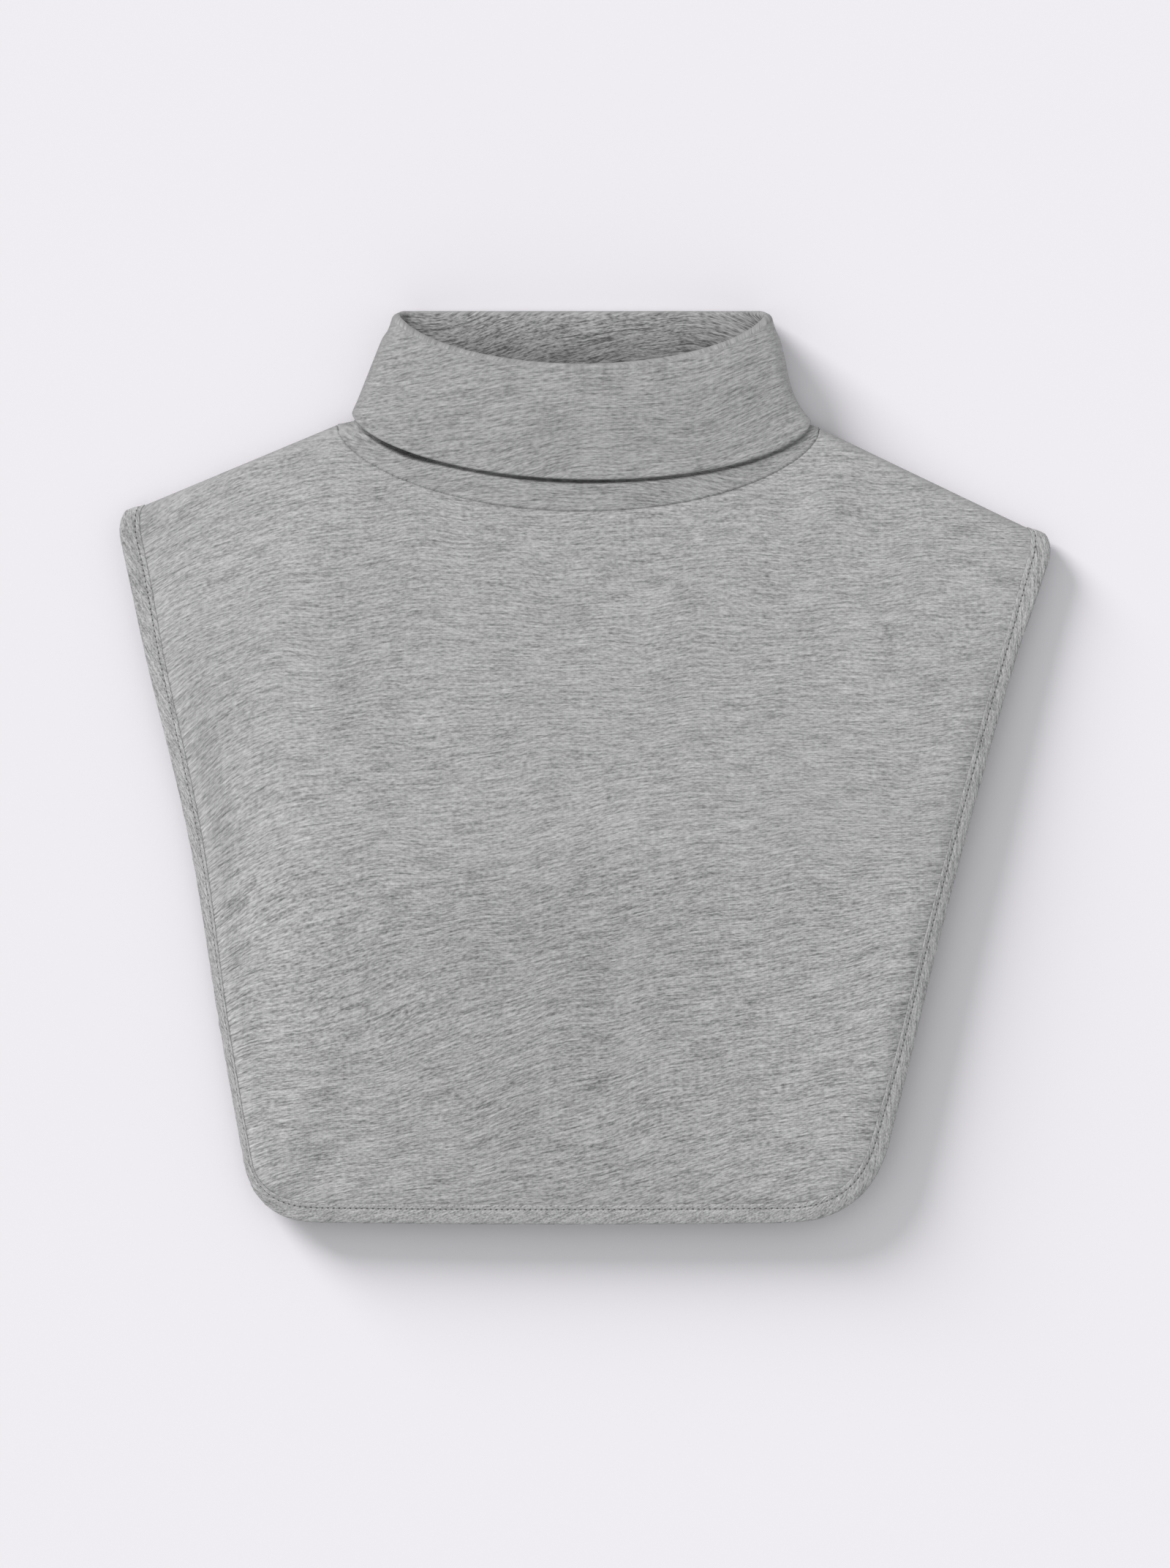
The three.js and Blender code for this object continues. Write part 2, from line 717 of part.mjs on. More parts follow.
function panelColumn(station, spot, neck, front, rowCount) {
  const half = panelWall / 2;
  const seamGap = station.fold === 0 ? clearance * (front ? 0.6 : -0.6) : 0;
  const lift = new THREE.Vector3(0, 0, seamGap);
  const column = [];
  for (const inside of [bandWidth - bandBite, bandWidth]) {
    const point = spot.point.clone().addScaledVector(spot.inward, inside).add(lift);
    column.push({ point, half, normal: spot.facing.clone().multiplyScalar(front ? 1 : -1) });
  }
  const start = column[1].point;
  const from = new THREE.Vector2(start.x, start.y);
  const leave = new THREE.Vector2(spot.inward.x, spot.inward.y).normalize();
  leave.add(neck.plan.clone().sub(from).normalize()).normalize();
  const reach = from.distanceTo(neck.plan);
  const path = new THREE.CubicBezierCurve(
    from,
    from.clone().addScaledVector(leave, reach * edgeReach),
    neck.plan.clone().addScaledVector(neck.outward, reach * neckReach),
    neck.plan);
  const total = path.getLength();
  const tilt = front ? station.tilt * deg : 0;
  const plainEdge = front
    ? seamHeight + station.lift * hemLoft + bandWidth * Math.sin(tilt)
    : bandThickness / 2;
  const full = curl(tilt, 6 * curlLength);
  const plainHeight = (advance, rise) => {
    const share = advance / total;
    if (front) {
      const end = neck.plain - full.rise;
      return mix(plainEdge, end, share) + rise + station.crown * crownRise * Math.sin(Math.PI * share);
    }
    const fromBand = (bandThickness / 2 - half) * (1 - smooth(advance / 12));
    return half + fromBand + (neck.plain - half) * (1 - smooth((total - advance) / 15));
  };
  const addRow = (advance, rise) => {
    const plan = path.getPointAt(Math.min(1, advance / total));
    const z = seamHeight + (plainHeight(advance, rise) - seamHeight) * station.fold;
    column.push({ point: new THREE.Vector3(plan.x, plan.y, z).add(lift), half });
  };
  for (const length of [2.5, 6, 12]) {
    const { advance, rise } = curl(tilt, length);
    addRow(advance, rise);
  }
  const near = curl(tilt, 12);
  for (let i = 1; i <= rowCount; i += 1) {
    const advance = mix(near.advance, total, i / rowCount);
    addRow(advance, front ? curl(tilt, Math.min(6 * curlLength, advance + 12 - near.advance)).rise : 0);
  }
  return column;
}

// Assembly

const cloth = (colour) => new THREE.MeshStandardMaterial({ color: colour, roughness: 0.95, metalness: 0 });

function makeDickey() {
  const frames = edgeFrames();
  const group = new THREE.Group();
  group.add(shellMesh('front_panel', panelGrid(frames, true, 7), false, cloth('#a5a5a5')));
  group.add(shellMesh('back_panel', panelGrid(frames, false, 4), false, cloth('#9f9f9f')));
  group.add(makeCollar(cloth('#a0a0a0')));
  group.add(makeBand(frames, cloth('#a9a9a9')));
  const box = new THREE.Box3().setFromObject(group);
  const centre = box.getCenter(new THREE.Vector3());
  group.position.set(-centre.x, -centre.y, -box.min.z);
  return group;
}

const group = makeDickey();
export default group;
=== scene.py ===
import math
from functools import partial
import bpy
import numpy as np
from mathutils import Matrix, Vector


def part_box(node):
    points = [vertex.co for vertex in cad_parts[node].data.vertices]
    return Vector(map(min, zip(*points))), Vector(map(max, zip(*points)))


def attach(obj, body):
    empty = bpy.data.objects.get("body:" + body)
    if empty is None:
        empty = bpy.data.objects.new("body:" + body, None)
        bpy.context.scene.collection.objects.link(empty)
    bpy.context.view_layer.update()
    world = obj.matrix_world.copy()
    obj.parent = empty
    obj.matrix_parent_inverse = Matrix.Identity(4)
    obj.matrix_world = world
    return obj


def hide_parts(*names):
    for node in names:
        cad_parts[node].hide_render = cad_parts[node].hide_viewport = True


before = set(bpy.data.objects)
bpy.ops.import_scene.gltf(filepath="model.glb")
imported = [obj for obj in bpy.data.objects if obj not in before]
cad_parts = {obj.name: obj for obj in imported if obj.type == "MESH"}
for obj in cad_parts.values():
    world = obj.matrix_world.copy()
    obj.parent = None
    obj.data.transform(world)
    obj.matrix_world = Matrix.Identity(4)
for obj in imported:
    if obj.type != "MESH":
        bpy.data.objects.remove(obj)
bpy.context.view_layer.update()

# A turtleneck dickey in grey marl jersey, laid flat on its back.
# Shapes are worked out in millimetres and made into meshes in metres.

cloth = {
    "panelWall": 1.0,
    "collarWall": 1.6,
    "bandWall": 1.0,
    "rollHemWall": 2.0,
    "clearance": 0.3,
    "foldPaintedShade": 0.2,  # painted shade: darker where the cloth turns over a fold
    "foldStreaks": 0.7,  # and with its streaks fainter by this share
}
foldPoints = 13  # points round the quarter turn of a fold
foldAngles = np.radians(np.linspace(0, 90, foldPoints))


def mix(a, b, t):
    return a + (b - a) * t


def smooth(t):
    held = np.clip(t, 0.0, 1.0)
    return held * held * (3 - 2 * held)


def ramp(x, start, end):
    return smooth((x - start) / (end - start))


def hump(x, centre, reach):
    return np.exp(-(((x - centre) / reach) ** 2))


def unit(vector):
    return vector / np.linalg.norm(vector)


def stepAlong(points):
    # the length run so far at each point of a line
    return np.concatenate([[0], np.cumsum(np.linalg.norm(np.diff(points, axis=0), axis=1))])


def stepRound(points):
    # the same round a closed line
    return stepAlong(np.concatenate([points, points[:1]]))[:-1]


def bezier(points, t):
    # the place and the direction on a curve with any number of handles
    t = np.asarray(t, dtype=float)[..., None]
    while len(points) > 2:
        points = [mix(a, b, t) for a, b in zip(points, points[1:])]
    return mix(*points, t), points[1] - points[0]


def readTable(rows, column, along):
    # a smooth curve through a table's column
    index = 0
    while index < len(rows) - 2 and rows[index + 1][0] < along:
        index += 1

    def slope(i):
        before, after = rows[max(0, i - 1)], rows[min(len(rows) - 1, i + 1)]
        return (after[column] - before[column]) / (after[0] - before[0])

    start, end = rows[index], rows[index + 1]
    span = end[0] - start[0]
    t = min(1.0, max(0.0, (along - start[0]) / span))
    return (
        (2 * t**3 - 3 * t**2 + 1) * start[column]
        + (t**3 - 2 * t**2 + t) * span * slope(index)
        + (3 * t**2 - 2 * t**3) * end[column]
        + (t**3 - t**2) * span * slope(index + 1)
    )


def foldShare(depth, roundness):
    left = 1 - np.clip(depth / roundness, 0.0, 1.0)
    return np.sqrt(1 - left * left)


def undulate(x, y, length, seed, stretch=1.0):
    # a soft random swell, about 1 high, with humps of the given length
    rng = np.random.RandomState(seed)
    total = np.zeros(np.broadcast(x, y).shape)
    for i in range(10):
        angle = rng.uniform(0, math.pi)
        wave = 2 * math.pi / (length * rng.uniform(0.7, 1.5))
        phase = rng.uniform(0, 2 * math.pi)
        total += np.sin((x * math.cos(angle) / stretch + y * math.sin(angle)) * wave + phase)
    return total / math.sqrt(10)


def swells(x, y, rows):
    # soft swells added up, from rows of height, length, seed and stretch
    return sum(height * undulate(x, y, length, seed, stretch) for height, length, seed, stretch in rows)


planShift = np.zeros(2)  # moves the plan to the frame's origin, set once the outline is known


def link(name, data):
    obj = bpy.data.objects.new(name, data)
    bpy.context.scene.collection.objects.link(obj)
    return obj


def makeMesh(name, points, faces, uvs):
    # points in millimetres, uvs in millimetres along and across the courses
    mesh = bpy.data.meshes.new(name)
    placed = np.asarray(points, dtype=float).copy()
    placed[:, :2] += planShift
    placed *= 0.001
    mesh.from_pydata(placed.tolist(), [], np.asarray(faces).tolist())
    layer = mesh.uv_layers.new(name="courses")
    corners = np.zeros(len(mesh.loops), dtype=np.int64)
    mesh.loops.foreach_get("vertex_index", corners)
    layer.data.foreach_set("uv", (np.asarray(uvs)[corners] * 0.001).ravel())
    mesh.polygons.foreach_set("use_smooth", np.ones(len(mesh.polygons), dtype=bool))
    mesh.update()
    return link(name, mesh)


def signedVolume(points, faces):
    tri = np.asarray(faces)
    p = np.asarray(points)
    first = np.einsum("ij,ij->i", p[tri[:, 0]], np.cross(p[tri[:, 1]], p[tri[:, 2]])).sum()
    second = np.einsum("ij,ij->i", p[tri[:, 0]], np.cross(p[tri[:, 2]], p[tri[:, 3]])).sum()
    return first + second


def quads(*corners):
    return np.stack(corners, axis=-1).reshape(-1, 4)


def outwards(points, faces):
    return faces[:, ::-1] if signedVolume(points, faces) < 0 else faces


def paint(piece, key, values):
    # a value at each point of the mesh for its material to read
    layer = piece.data.attributes.new(key, "FLOAT", "POINT")
    layer.data.foreach_set("value", values)


def gridNormals(grid, closed):
    if closed:
        across = np.roll(grid, -1, axis=1) - np.roll(grid, 1, axis=1)
    else:
        across = np.gradient(grid, axis=1)
    up = np.gradient(grid, axis=0)
    normal = np.cross(across, up)
    return normal / np.maximum(1e-9, np.linalg.norm(normal, axis=2, keepdims=True))


def shell(name, grid, half, uv, looks, closed, normals):
    # a cloth wall round a grid of points on its middle surface; looks are values for its material
    rows, columns, _ = grid.shape
    outer = grid + normals * half[..., None]
    inner = grid - normals * half[..., None]
    points = np.concatenate([outer.reshape(-1, 3), inner.reshape(-1, 3)])
    uvs = np.concatenate([uv.reshape(-1, 2), uv.reshape(-1, 2)])
    index = np.arange(rows * columns).reshape(rows, columns)
    nextColumn = np.roll(index, -1, axis=1) if closed else index[:, 1:]
    thisColumn = index if closed else index[:, :-1]
    a, b = thisColumn[:-1], nextColumn[:-1]
    c, d = nextColumn[1:], thisColumn[1:]
    skip = rows * columns
    faces = [
        quads(a, b, c, d),
        quads(a, d, c, b) + skip,
        quads(a[0], a[0] + skip, b[0] + skip, b[0]),
        quads(d[-1], c[-1], c[-1] + skip, d[-1] + skip),
    ]
    if not closed:
        left, right = index[:, 0], index[:, -1]
        faces.append(quads(left[:-1], left[1:], left[1:] + skip, left[:-1] + skip))
        faces.append(quads(right[:-1], right[:-1] + skip, right[1:] + skip, right[1:]))
    piece = makeMesh(name, points, outwards(points, np.concatenate(faces)), uvs)
    for key, values in looks.items():
        paint(piece, key, np.concatenate([values.ravel(), values.ravel()]))
    return piece


body = {
    "length": 284.2,
    "shoulderHalfWidth": 192.4,
    "shoulderSkew": 4.9,
    "hemHalfWidth": 125.4,
    "hemSwing": -9.2,
    "hemBow": 1.3,
    "leftCornerRadius": 30,
    "rightCornerRadius": 44,
    "tipRounding": 9,
    "tipInset": 4.4,
    "tipLead": 0.72,  # how far the tip's curve runs on along the shoulder, as a share of its inset
    "tipDrop": 0.5,
    "tipEase": 0.5,  # and back up the side, as a share of its depth
    "seamHeight": 4.5,
    "foldRound": 3,
    "hemLoft": 6.5,
    "crownRise": 3.6,
    "curlLength": 4,
    "curlSteps": (0.5, 1.0, 1.7, 2.5, 3.5, 4.8, 6.2, 8, 10, 12),  # rows close together at the band
    "backInset": 3,
    "backInsetRun": 60,  # down the side over which the back moves in by that much
    "edgeReach": 0.08,
    "neckReach": 0.3,
    "neckGap": 0.5,  # from the line of the collar's foot out to the panels' neck edges
    "foldGap": 0.12,  # the same where the seam turns over the shoulder fold
    "shoulderBlend": 12,
    "bandEase": 12,  # the back comes down from the band over this length
    "neckEase": 15,  # and rises to the neck seam over this one
    "columnsPerEdge": 64,
    "columnsPerCorner": 22,
    "columnsAlongHem": 58,
    "rowsFront": 64,
    "rowsBack": 36,
    "swells": [(0.5, 95, 11, 1.0), (0.16, 34, 12, 1.6)],  # height, length, seed and stretch
    "ridgeHeight": 3.0,  # a low ridge across the chest, steeper above than below
    "ridgeY": 150,
    "ridgeAbove": 18,
    "ridgeBelow": 44,
    "fallDepth": 3.4,  # the left side falls away towards its edge
    "fallWidth": 46,
    "ditchDepth": 0.45,  # a fine dip along the neck seam
    "ditchWidth": 1.3,
    "lowPaintedShade": 0.09,  # painted shade: darker in the middle below the ridge
    "lowStreaks": 0.2,
    "leftPaintedShade": -0.07,  # painted light: lighter towards both sides, as a negative painted shade
    "rightPaintedShade": -0.03,
}

# along, bow, lift, tilt, crown down each side edge, from the shoulder point to the lower corner
leftEdge = [
    (0.00, 0.0000, 0.42, 0, 0.30),
    (0.08, 0.0010, 0.42, 4, 0.30),
    (0.20, 0.0032, 0.36, 28, 0.30),
    (0.46, 0.0136, 0.20, 50, 0.25),
    (0.72, 0.0052, 0.10, 65, 0.20),
    (0.90, 0.0015, 0.06, 69, 0.30),
    (1.00, 0.0000, 0.10, 66, 0.50),
]
rightEdge = [
    (0.00, 0.0000, 0.42, 0, 0.30),
    (0.08, 0.0040, 0.46, 4, 0.30),
    (0.18, 0.0102, 0.60, 18, 0.40),
    (0.36, 0.0123, 0.78, 28, 0.55),
    (0.58, 0.0106, 0.86, 30, 0.60),
    (0.78, 0.0046, 0.92, 27, 0.70),
    (1.00, 0.0000, 0.98, 22, 0.85),
]
lowerEdge = [
    (0.00, 0.0, 0.75, 18, 0.80),
    (0.20, 0.0, 0.96, 16, 1.00),
    (0.50, 0.0, 1.00, 14, 1.00),
    (0.80, 0.0, 1.00, 16, 1.00),
    (1.00, 0.0, 1.00, 20, 0.90),
]


def sidePoints(side):
    neck = neckLoop()
    neckPoint = np.array([neck["centre"] + side * neck["halfWidth"], neck["sideY"] - side * neck["skew"]])
    tip = np.array([side * body["shoulderHalfWidth"], body["length"] - side * body["shoulderSkew"]])
    corner = np.array([body["hemSwing"] + side * body["hemHalfWidth"], body["hemBow"]])
    return neckPoint, tip, corner


def shoulderAxes(side):
    neckPoint, tip, _ = sidePoints(side)
    out = unit(tip - neckPoint)
    down = np.array([side * out[1], -side * out[0]])
    return neckPoint, out, down


def depthBelowShoulder(plan, side):
    neckPoint, _, down = shoulderAxes(side)
    return (np.asarray(plan) - neckPoint) @ down


def edgePoint(side, rows, along):
    _, tip, corner = sidePoints(side)
    line = corner - tip
    inward = np.array([side * line[1], -side * line[0]])
    return tip + line * along + inward * readTable(rows, 1, along)


def hemPoint(share):
    left, right = sidePoints(-1)[2], sidePoints(1)[2]
    return mix(left, right, share) - np.array([0, body["hemBow"] * 4 * share * (1 - share)])


def cornerShares(side, radius):
    _, tip, corner = sidePoints(side)
    edge = tip - corner
    inside = math.acos(float(edge @ np.array([-side, 0.0])) / np.linalg.norm(edge))
    reach = radius / math.tan(inside / 2)
    return 1 - reach / np.linalg.norm(edge), reach / (2 * body["hemHalfWidth"])


def shoulderTipCurve(side, rows):
    neckPoint, out, down = shoulderAxes(side)
    _, tip, corner = sidePoints(side)
    start = tip - out * body["tipInset"]
    along = body["tipRounding"] / np.linalg.norm(corner - tip)
    end = edgePoint(side, rows, along)
    ahead = unit(edgePoint(side, rows, along + 0.01) - end)
    depth = float((end - neckPoint) @ down)
    lead = start + out * body["tipInset"] * body["tipLead"] + down * body["tipDrop"]
    return (start, lead, end - ahead * depth * body["tipEase"], end), along


def rowValues(rows, along):
    return tuple(readTable(rows, column, along) for column in (2, 3, 4))


def makeStation(side, plan, ahead, values, fold):
    # a place on the outline; fold is 0 on the shoulder fold and 1 on the open edges
    inward = unit(np.array([side * ahead[1], -side * ahead[0]]))
    station = {"side": side, "plan": plan, "inward": inward, "fold": fold}
    station.update(zip(("lift", "tilt", "crown"), values))
    return station


def sideStations(side, rows, radius):
    edgeShare, hemShare = cornerShares(side, radius)
    curve, tipEnd = shoulderTipCurve(side, rows)
    stations = []

    def add(plan, ahead, values, fold=1.0):
        stations.append(makeStation(side, plan, ahead, values, fold))

    tipValues = rowValues(rows, 0)
    fine = np.linspace(0, 1, 600)
    depths = depthBelowShoulder(bezier(curve, fine)[0], side)
    for angle in foldAngles:
        t = float(np.interp(body["foldRound"] * (1 - math.cos(angle)), depths, fine))
        add(*bezier(curve, t), tipValues, min(1.0, math.sin(angle)))
    foldEnd = float(np.interp(body["foldRound"], depths, fine))
    for t in mix(foldEnd, 1.0, np.array([0.25, 0.5, 0.75])):
        add(*bezier(curve, t), tipValues)
    for i in range(body["columnsPerEdge"] + 1):
        along = mix(tipEnd, edgeShare, i / body["columnsPerEdge"])
        ahead = edgePoint(side, rows, along + 0.004) - edgePoint(side, rows, along - 0.004)
        add(edgePoint(side, rows, along), ahead, rowValues(rows, along))
    share = hemShare if side < 0 else 1 - hemShare
    arc = (edgePoint(side, rows, edgeShare), sidePoints(side)[2], hemPoint(share))
    start, end = rowValues(rows, edgeShare), rowValues(lowerEdge, share)
    for i in range(1, body["columnsPerCorner"] + 1):
        t = i / body["columnsPerCorner"]
        add(*bezier(arc, t), tuple(mix(a, b, float(smooth(t))) for a, b in zip(start, end)))
    return stations, share


def outlineStations():
    left, leftShare = sideStations(-1, leftEdge, body["leftCornerRadius"])
    right, rightShare = sideStations(1, rightEdge, body["rightCornerRadius"])
    stations = list(left)
    for i in range(1, body["columnsAlongHem"]):
        share = mix(leftShare, rightShare, i / body["columnsAlongHem"])
        ahead = hemPoint(share + 0.01) - hemPoint(share - 0.01)
        stations.append(makeStation(-1, hemPoint(share), ahead, rowValues(lowerEdge, share), 1.0))
    return stations + right[::-1]


def edgeSpot(station, front, plan, z):
    # a place on the band's middle line, with the direction that its leg faces
    _, _, down = shoulderAxes(station["side"])
    flat = 1.0 if front else -1.0
    rise = station["lift"] * body["hemLoft"] if front else body["seamHeight"] - bandThickness / 2
    if station["fold"] >= 1:
        tilt = math.radians(station["tilt"]) if front else 0.0
        facing = np.array([*-station["inward"] * math.sin(tilt), flat * math.cos(tilt)])
    else:
        turned = math.sqrt(max(0.0, 1 - station["fold"] ** 2)) / body["foldRound"]
        facing = np.array([*-down * turned, flat * station["fold"] / rise])
    return {"point": np.array([*plan, z]), "facing": unit(facing), "station": station}


def edgeFrames(stations):
    # the band's middle line: round the front, then back round the back, a little further in
    spots = []
    for station in stations:
        z = body["seamHeight"] + station["lift"] * body["hemLoft"] * station["fold"]
        spots.append(edgeSpot(station, True, station["plan"], z))
    for station in stations[-2:0:-1]:
        beyond = depthBelowShoulder(station["plan"], station["side"]) - 2 * body["foldRound"]
        inset = body["backInset"] * smooth(beyond / body["backInsetRun"])
        z = mix(body["seamHeight"], bandThickness / 2, station["fold"])
        spots.append(edgeSpot(station, False, station["plan"] + station["inward"] * inset, z))
    for i, spot in enumerate(spots):
        side = spot["station"]["side"]
        ahead = unit(spots[(i + 1) % len(spots)]["point"] - spots[i - 1]["point"])
        _, out, _ = shoulderAxes(side)
        near = 1 - smooth(depthBelowShoulder(spot["station"]["plan"], side) / (4 * body["foldRound"]))
        inward = mix(unit(np.cross(spot["facing"], ahead)), np.array([*-out, 0.0]), near)
        spot["inward"] = unit(inward - spot["facing"] * (inward @ spot["facing"]))
    return spots


# How the courses of the knit run over the body: they slope up to the right, steeper near the left edge.
courses = {
    "slope": 0.05,
    "lowerSlope": 0.19,  # more on the lower half
    "rightSlope": -0.035,
    "leftSlope": 0.62,
    "lean": 0.04,
    "waves": [(2.2, 120, 5, 1.0), (0.8, 42, 6, 1.0)],  # height, length, seed and stretch
}
courseX = np.linspace(-220, 220, 881)
steepness = courses["leftSlope"] * (1 - ramp(courseX[1:], -172, -114))
courseRise = np.concatenate([[0], np.cumsum(steepness * np.diff(courseX))])


def courseUv(x, y):
    slope = courses["slope"] + courses["lowerSlope"] * (1 - ramp(y, 60, 250))
    slope = slope + courses["rightSlope"] * ramp(x, 20, 130)
    rise = np.interp(x, courseX, courseRise)
    across = y - slope * x - rise + swells(x, y, courses["waves"])
    return np.stack([x + courses["lean"] * y, across], axis=-1)


def curlTable(tilt):
    # advance and rise of a curled edge against the length of cloth
    length = np.linspace(0, 6 * body["curlLength"], 241)
    middle = (length[1:] + length[:-1]) / 2
    slope = tilt * np.exp(-middle / body["curlLength"])
    step = length[1] - length[0]
    advance = np.concatenate([[0], np.cumsum(np.cos(slope) * step)])
    rise = np.concatenate([[0], np.cumsum(np.sin(slope) * step)])
    return length, advance, rise


def neckStations(stations, front):
    # where each column of a panel ends at the neck seam, with the way out from the collar there
    loop = neckLoop()
    trace = loopTrace(loop, loop["frontDip"] if front else loop["backDip"])
    total = trace["run"][-1]
    runs = stepAlong(np.array([station["plan"] for station in stations]))
    first, last = foldPoints - 1, len(stations) - foldPoints
    foldRuns = loop["round"] * (1 - np.cos(foldAngles))
    spread = (runs - runs[first]) / (runs[last] - runs[first])
    places = loop["round"] + (total - 2 * loop["round"]) * spread
    places[: first + 1] = foldRuns
    places[last:] = total - foldRuns[::-1]
    x, y, z, plain = loopPoints(loop, trace, front, places, standBackHeight)
    ahead = np.stack([np.gradient(x), np.gradient(y)], axis=1)
    ahead /= np.linalg.norm(ahead, axis=1, keepdims=True)
    outward = np.stack([ahead[:, 1], -ahead[:, 0]], axis=1)
    for i, station in enumerate(stations):
        near = 1 - smooth(depthBelowShoulder((x[i], y[i]), station["side"]) / body["shoulderBlend"])
        outward[i] = unit(mix(outward[i], shoulderAxes(station["side"])[1], near))
    gap = mix(body["foldGap"], body["neckGap"], ramp(np.minimum(places, total - places), 1, 9))
    return np.stack([x, y], axis=1) + outward * gap[:, None], outward, plain


slotRows = 4  # rows of a panel inside the band


def panelColumn(station, spot, neckPlan, neckOut, neckPlain, front, rowCount):
    # points from inside the band to the neck seam, and their distance from the seam
    wall = cloth["panelWall"]
    seamGap = cloth["clearance"] * (0.6 if front else -0.6) if station["fold"] == 0 else 0.0
    slot = np.linspace(band["width"] - band["bite"], band["width"], slotRows)
    points = [spot["point"] + spot["inward"] * inside + np.array([0, 0, seamGap]) for inside in slot]
    start = points[-1][:2]
    toNeck = neckPlan - start
    reach = np.linalg.norm(toNeck)
    leave = unit(unit(spot["inward"][:2]) + toNeck / reach)
    handles = start + leave * reach * body["edgeReach"], neckPlan + neckOut * reach * body["neckReach"]
    places, _ = bezier((start, *handles, neckPlan), np.linspace(0, 1, 300))
    run = stepAlong(places)
    total = run[-1]
    tilt = math.radians(station["tilt"]) if front else 0.0
    length, curlAdvance, curlRise = curlTable(tilt)
    near = np.interp(body["curlSteps"], length, curlAdvance)
    advance = np.concatenate([near, mix(near[-1], total, np.arange(1, rowCount + 1) / rowCount)])
    advance = np.minimum(advance, total)
    share = advance / total
    if front:
        plainEdge = body["seamHeight"] + station["lift"] * body["hemLoft"] + band["width"] * math.sin(tilt)
        rise = np.interp(advance, curlAdvance, curlRise)
        crown = station["crown"] * body["crownRise"] * np.sin(math.pi * share)
        plain = mix(plainEdge, neckPlain - curlRise[-1], share) + rise + crown
    else:
        fromBand = (bandThickness - wall) / 2 * (1 - smooth(advance / body["bandEase"]))
        toSeam = (neckPlain - wall / 2) * (1 - smooth((total - advance) / body["neckEase"]))
        plain = wall / 2 + fromBand + toSeam
    z = body["seamHeight"] + (plain - body["seamHeight"]) * station["fold"]
    x = np.interp(advance, run, places[:, 0])
    y = np.interp(advance, run, places[:, 1])
    points.extend(np.stack([x, y, z + seamGap], axis=1))
    return np.array(points), total - np.concatenate([np.full(slotRows, total), advance])


def panelGrid(front, rowCount):
    last = len(stations) - 1
    plans, outs, plains = neckStations(stations, front)
    columns, fromNeck, slotNormals = [], [], []
    for i, station in enumerate(stations):
        spot = spots[i] if front or i in (0, last) else spots[2 * last - i]
        points, away = panelColumn(station, spot, plans[i], outs[i], plains[i], front, rowCount)
        columns.append(points)
        fromNeck.append(away)
        slotNormals.append(spot["facing"])
    return np.array(columns).transpose(1, 0, 2), np.array(fromNeck).T, np.array(slotNormals)


def panel(name, front, rowCount):
    grid, fromNeck, slotNormals = panelGrid(front, rowCount)
    x, y = grid[..., 0], grid[..., 1]
    fold = np.array([station["fold"] for station in stations])[None, :]
    fromBand = np.linalg.norm(grid - grid[slotRows - 1][None], axis=2)
    if front:
        # soft swells, the low ridge across the chest, the falling left side and the dip at the neck
        free = ramp(fromBand, 1, 19) * ramp(fromNeck, 0, 14) * np.minimum(1, fold) ** 4
        free[:slotRows] = 0
        grid[..., 2] += swells(x, y, body["swells"]) * free
        reach = np.where(y > body["ridgeY"], body["ridgeAbove"], body["ridgeBelow"])
        ridge = hump(y, body["ridgeY"], reach) * ramp(x, -150, -90) * ramp(x, 110, 0)
        fall = smooth((fromBand - 1) / body["fallWidth"]) - 1
        onLeft = ramp(x, -60, -110) * ramp(y, neckSideY - 70, neckSideY - 130)
        grid[..., 2] += (body["ridgeHeight"] * ridge + body["fallDepth"] * fall * onLeft) * free
        ditch = body["ditchDepth"] * hump(fromNeck, 0, body["ditchWidth"]) * np.minimum(1, fold) ** 2
        grid[slotRows:, :, 2] -= ditch[slotRows:]
    half = np.full(x.shape, cloth["panelWall"] / 2)
    normals = gridNormals(grid, False)
    if (normals[10] * slotNormals).sum() < 0:
        normals = -normals
    normals[:slotRows] = slotNormals[None]
    # the shade values are painted shade round the shoulder folds and in the middle below the ridge, and
    # painted light towards both sides
    turn = np.broadcast_to(np.sqrt(np.maximum(0, 1 - fold**2)), x.shape)
    below = ramp(y, body["ridgeY"] + 12, body["ridgeY"] - 22)
    sides = body["leftPaintedShade"] * ramp(x, -90, -130) + body["rightPaintedShade"] * ramp(x, 90, 130)
    looks = {
        "shade": cloth["foldPaintedShade"] * turn + body["lowPaintedShade"] * below * hump(x, -8, 60) + sides,
        "streaks": 1 - cloth["foldStreaks"] * turn + body["lowStreaks"] * below,
    }
    return shell(name, grid, half, courseUv(x, y), looks, False, normals)


